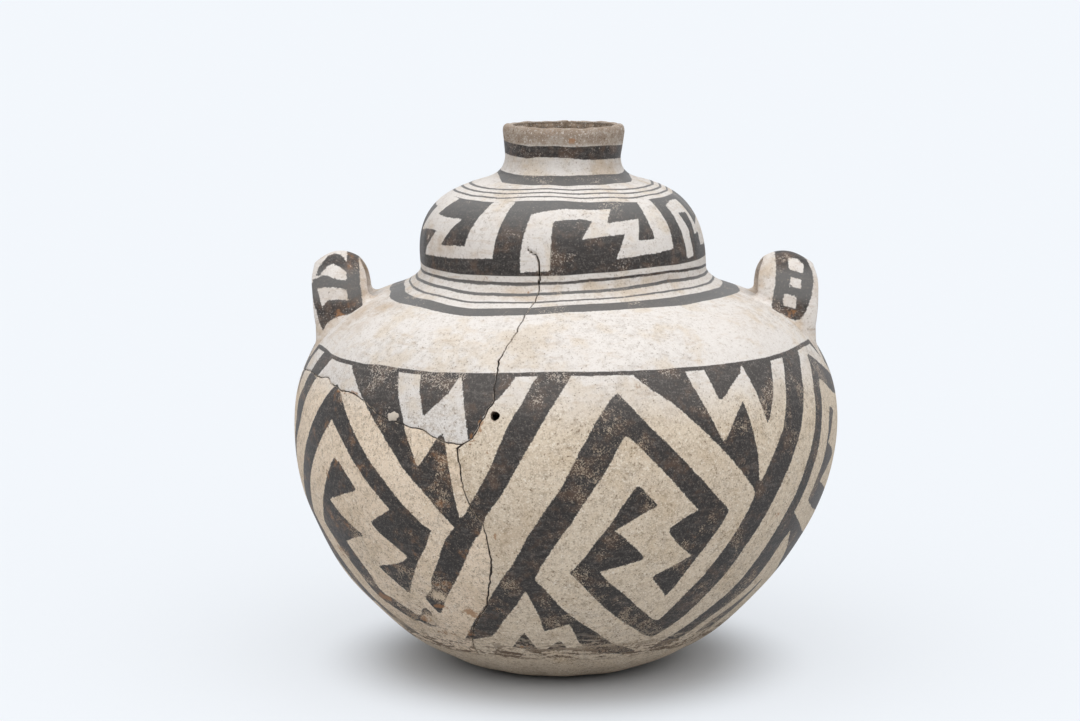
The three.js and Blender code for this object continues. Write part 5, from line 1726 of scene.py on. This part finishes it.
def filler_finish():
    """Pale plaster filling, dusty and pitted."""
    shader = Shader(bpy.data.materials.new("pale_filling"))
    place = shader.place()
    grain = shader.noise(place, 700, 4, 0.65)
    cloud = shader.noise(place, 200, 3, 0.6)
    colour = shader.layered(FILLER_PALE, [
        (FILLER_TAN, shader.smooth(cloud, 0.4, 0.7) * 0.6),
        (FILLER_PIT, shader.smooth(grain, 0.6, 0.7) * 0.6),
    ])
    roughness = 0.85 + (grain - 0.5) * 0.1
    return shader.finish({"Base Color": colour, "Roughness": roughness}, grain, FILLER_BUMP)


def place_piece(piece, node, material):
    piece.data.materials.append(material)
    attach(piece, "root")
    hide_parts(node)


def build_jar():
    warm = painted_clay("slip_warm", SLIP_WARM)
    grey = painted_clay("slip_grey", SLIP_GREY)
    tan = painted_clay("slip_tan", SLIP_TAN, 0.55)
    adhesive = glue_finish()
    place_piece(base_dish(), "base_dish", warm)
    place_piece(right_sherd(), "body_sherd_right", warm)
    place_piece(left_sherd("sherd_upper_left", True), "body_sherd_upper_left", grey)
    place_piece(left_sherd("sherd_lower_left", False), "body_sherd_lower_left", tan)
    place_piece(lobe_ring(), "upper_lobe", warm)
    place_piece(collar(), "neck_collar", warm)
    place_piece(rim(), "rim_coil", warm)
    place_piece(strap_lug("lug_left", False), "strap_lug_left", tan)
    place_piece(strap_lug("lug_right", True), "strap_lug_right", warm)
    for bar, crack in zip(glue_strips(), ("front", "side", "rear")):
        place_piece(bar, f"glue_{crack}_crack", adhesive)
    place_piece(filler(), "filler_side_crack", filler_finish())


# Studio: a wide white floor under one very soft light from above, and weak light from all round
FLOOR_HALF = 40.0
FLOOR_BOUNCE = (0.56, 0.565, 0.575)
FLOOR_LIT = 1.27
FLOOR_GLOW = 0.65
GLOW_START = 0.08
GLOW_END = 0.145
SURROUND = (0.92, 0.955, 1.0)
AROUND_COLOUR = (0.96, 0.98, 1.0)
AROUND_STRENGTH = 0.13
OVERHEAD_STRENGTH = 3.52
OVERHEAD_SPREAD = 110.0
OVERHEAD_TILT = 20.0


def floor_finish():
    """White paper. The camera sees it overexposed away from the jar, which the glow stands for: a
    share of the white is given off and the rest reflected. Other rays find a greyer floor."""
    shader = Shader(bpy.data.materials.new("floor_paper"))
    distance = shader.node("ShaderNodeVectorMath", {"operation": "LENGTH"}, {0: shader.place()}, "Value")
    glow = shader.smooth(distance, GLOW_START, GLOW_END) * FLOOR_GLOW
    lit = tuple(part / FLOOR_LIT for part in SURROUND)
    near = shader.node("ShaderNodeBsdfDiffuse", {}, {"Color": (*lit, 1.0)})
    given = shader.node("ShaderNodeEmission", {}, {"Color": (*SURROUND, 1.0)})
    seen = shader.node("ShaderNodeMixShader", {}, {0: glow, 1: near, 2: given})
    bounce = shader.node("ShaderNodeBsdfDiffuse", {}, {"Color": (*FLOOR_BOUNCE, 1.0)})
    surface = shader.node("ShaderNodeMixShader", {}, {0: shader.seen_directly(), 1: bounce, 2: seen})
    shader.node("ShaderNodeOutputMaterial", {}, {"Surface": surface})
    return shader.owner


def studio():
    corners = np.array([(-1, -1, 0), (1, -1, 0), (1, 1, 0), (-1, 1, 0)], float) * FLOOR_HALF
    mesh = bpy.data.meshes.new("floor")
    mesh.from_pydata(corners.tolist(), [], [(0, 1, 2, 3)])
    floor = bpy.data.objects.new("floor", mesh)
    bpy.context.scene.collection.objects.link(floor)
    floor.data.materials.append(floor_finish())

    sky = Shader(bpy.data.worlds.new("studio"))
    around_light = {"Color": (*AROUND_COLOUR, 1.0), "Strength": AROUND_STRENGTH}
    light = sky.node("ShaderNodeBackground", {}, around_light)
    seen = sky.node("ShaderNodeBackground", {}, {"Color": (*SURROUND, 1.0)})
    either = sky.node("ShaderNodeMixShader", {}, {0: sky.seen_directly(), 1: light, 2: seen})
    sky.node("ShaderNodeOutputWorld", {}, {"Surface": either})
    bpy.context.scene.world = sky.owner

    overhead = bpy.data.lights.new("overhead", "SUN")
    overhead.energy = OVERHEAD_STRENGTH
    overhead.angle = np.radians(OVERHEAD_SPREAD)
    thing = bpy.data.objects.new("overhead", overhead)
    bpy.context.scene.collection.objects.link(thing)
    thing.rotation_euler = (np.radians(OVERHEAD_TILT), 0, 0)


# Camera fitted to the photograph, in mm, degrees and mm of lens
CAMERA_PLACE = (-12.3, -1483.3, 401.8)
CAMERA_DOWN = 8.96
CAMERA_LENS = 91.0
CAMERA_SENSOR = 36.0


def camera():
    data = bpy.data.cameras.new("camera")
    data.lens = CAMERA_LENS
    data.sensor_width = CAMERA_SENSOR
    data.clip_start, data.clip_end = 0.05, 20.0
    thing = bpy.data.objects.new("camera", data)
    bpy.context.scene.collection.objects.link(thing)
    thing.location = tuple(part * MM for part in CAMERA_PLACE)
    thing.rotation_euler = (np.radians(90 - CAMERA_DOWN), 0, 0)
    bpy.context.scene.camera = thing


build_jar()
studio()
camera()
bpy.context.scene.view_settings.view_transform = "Standard"
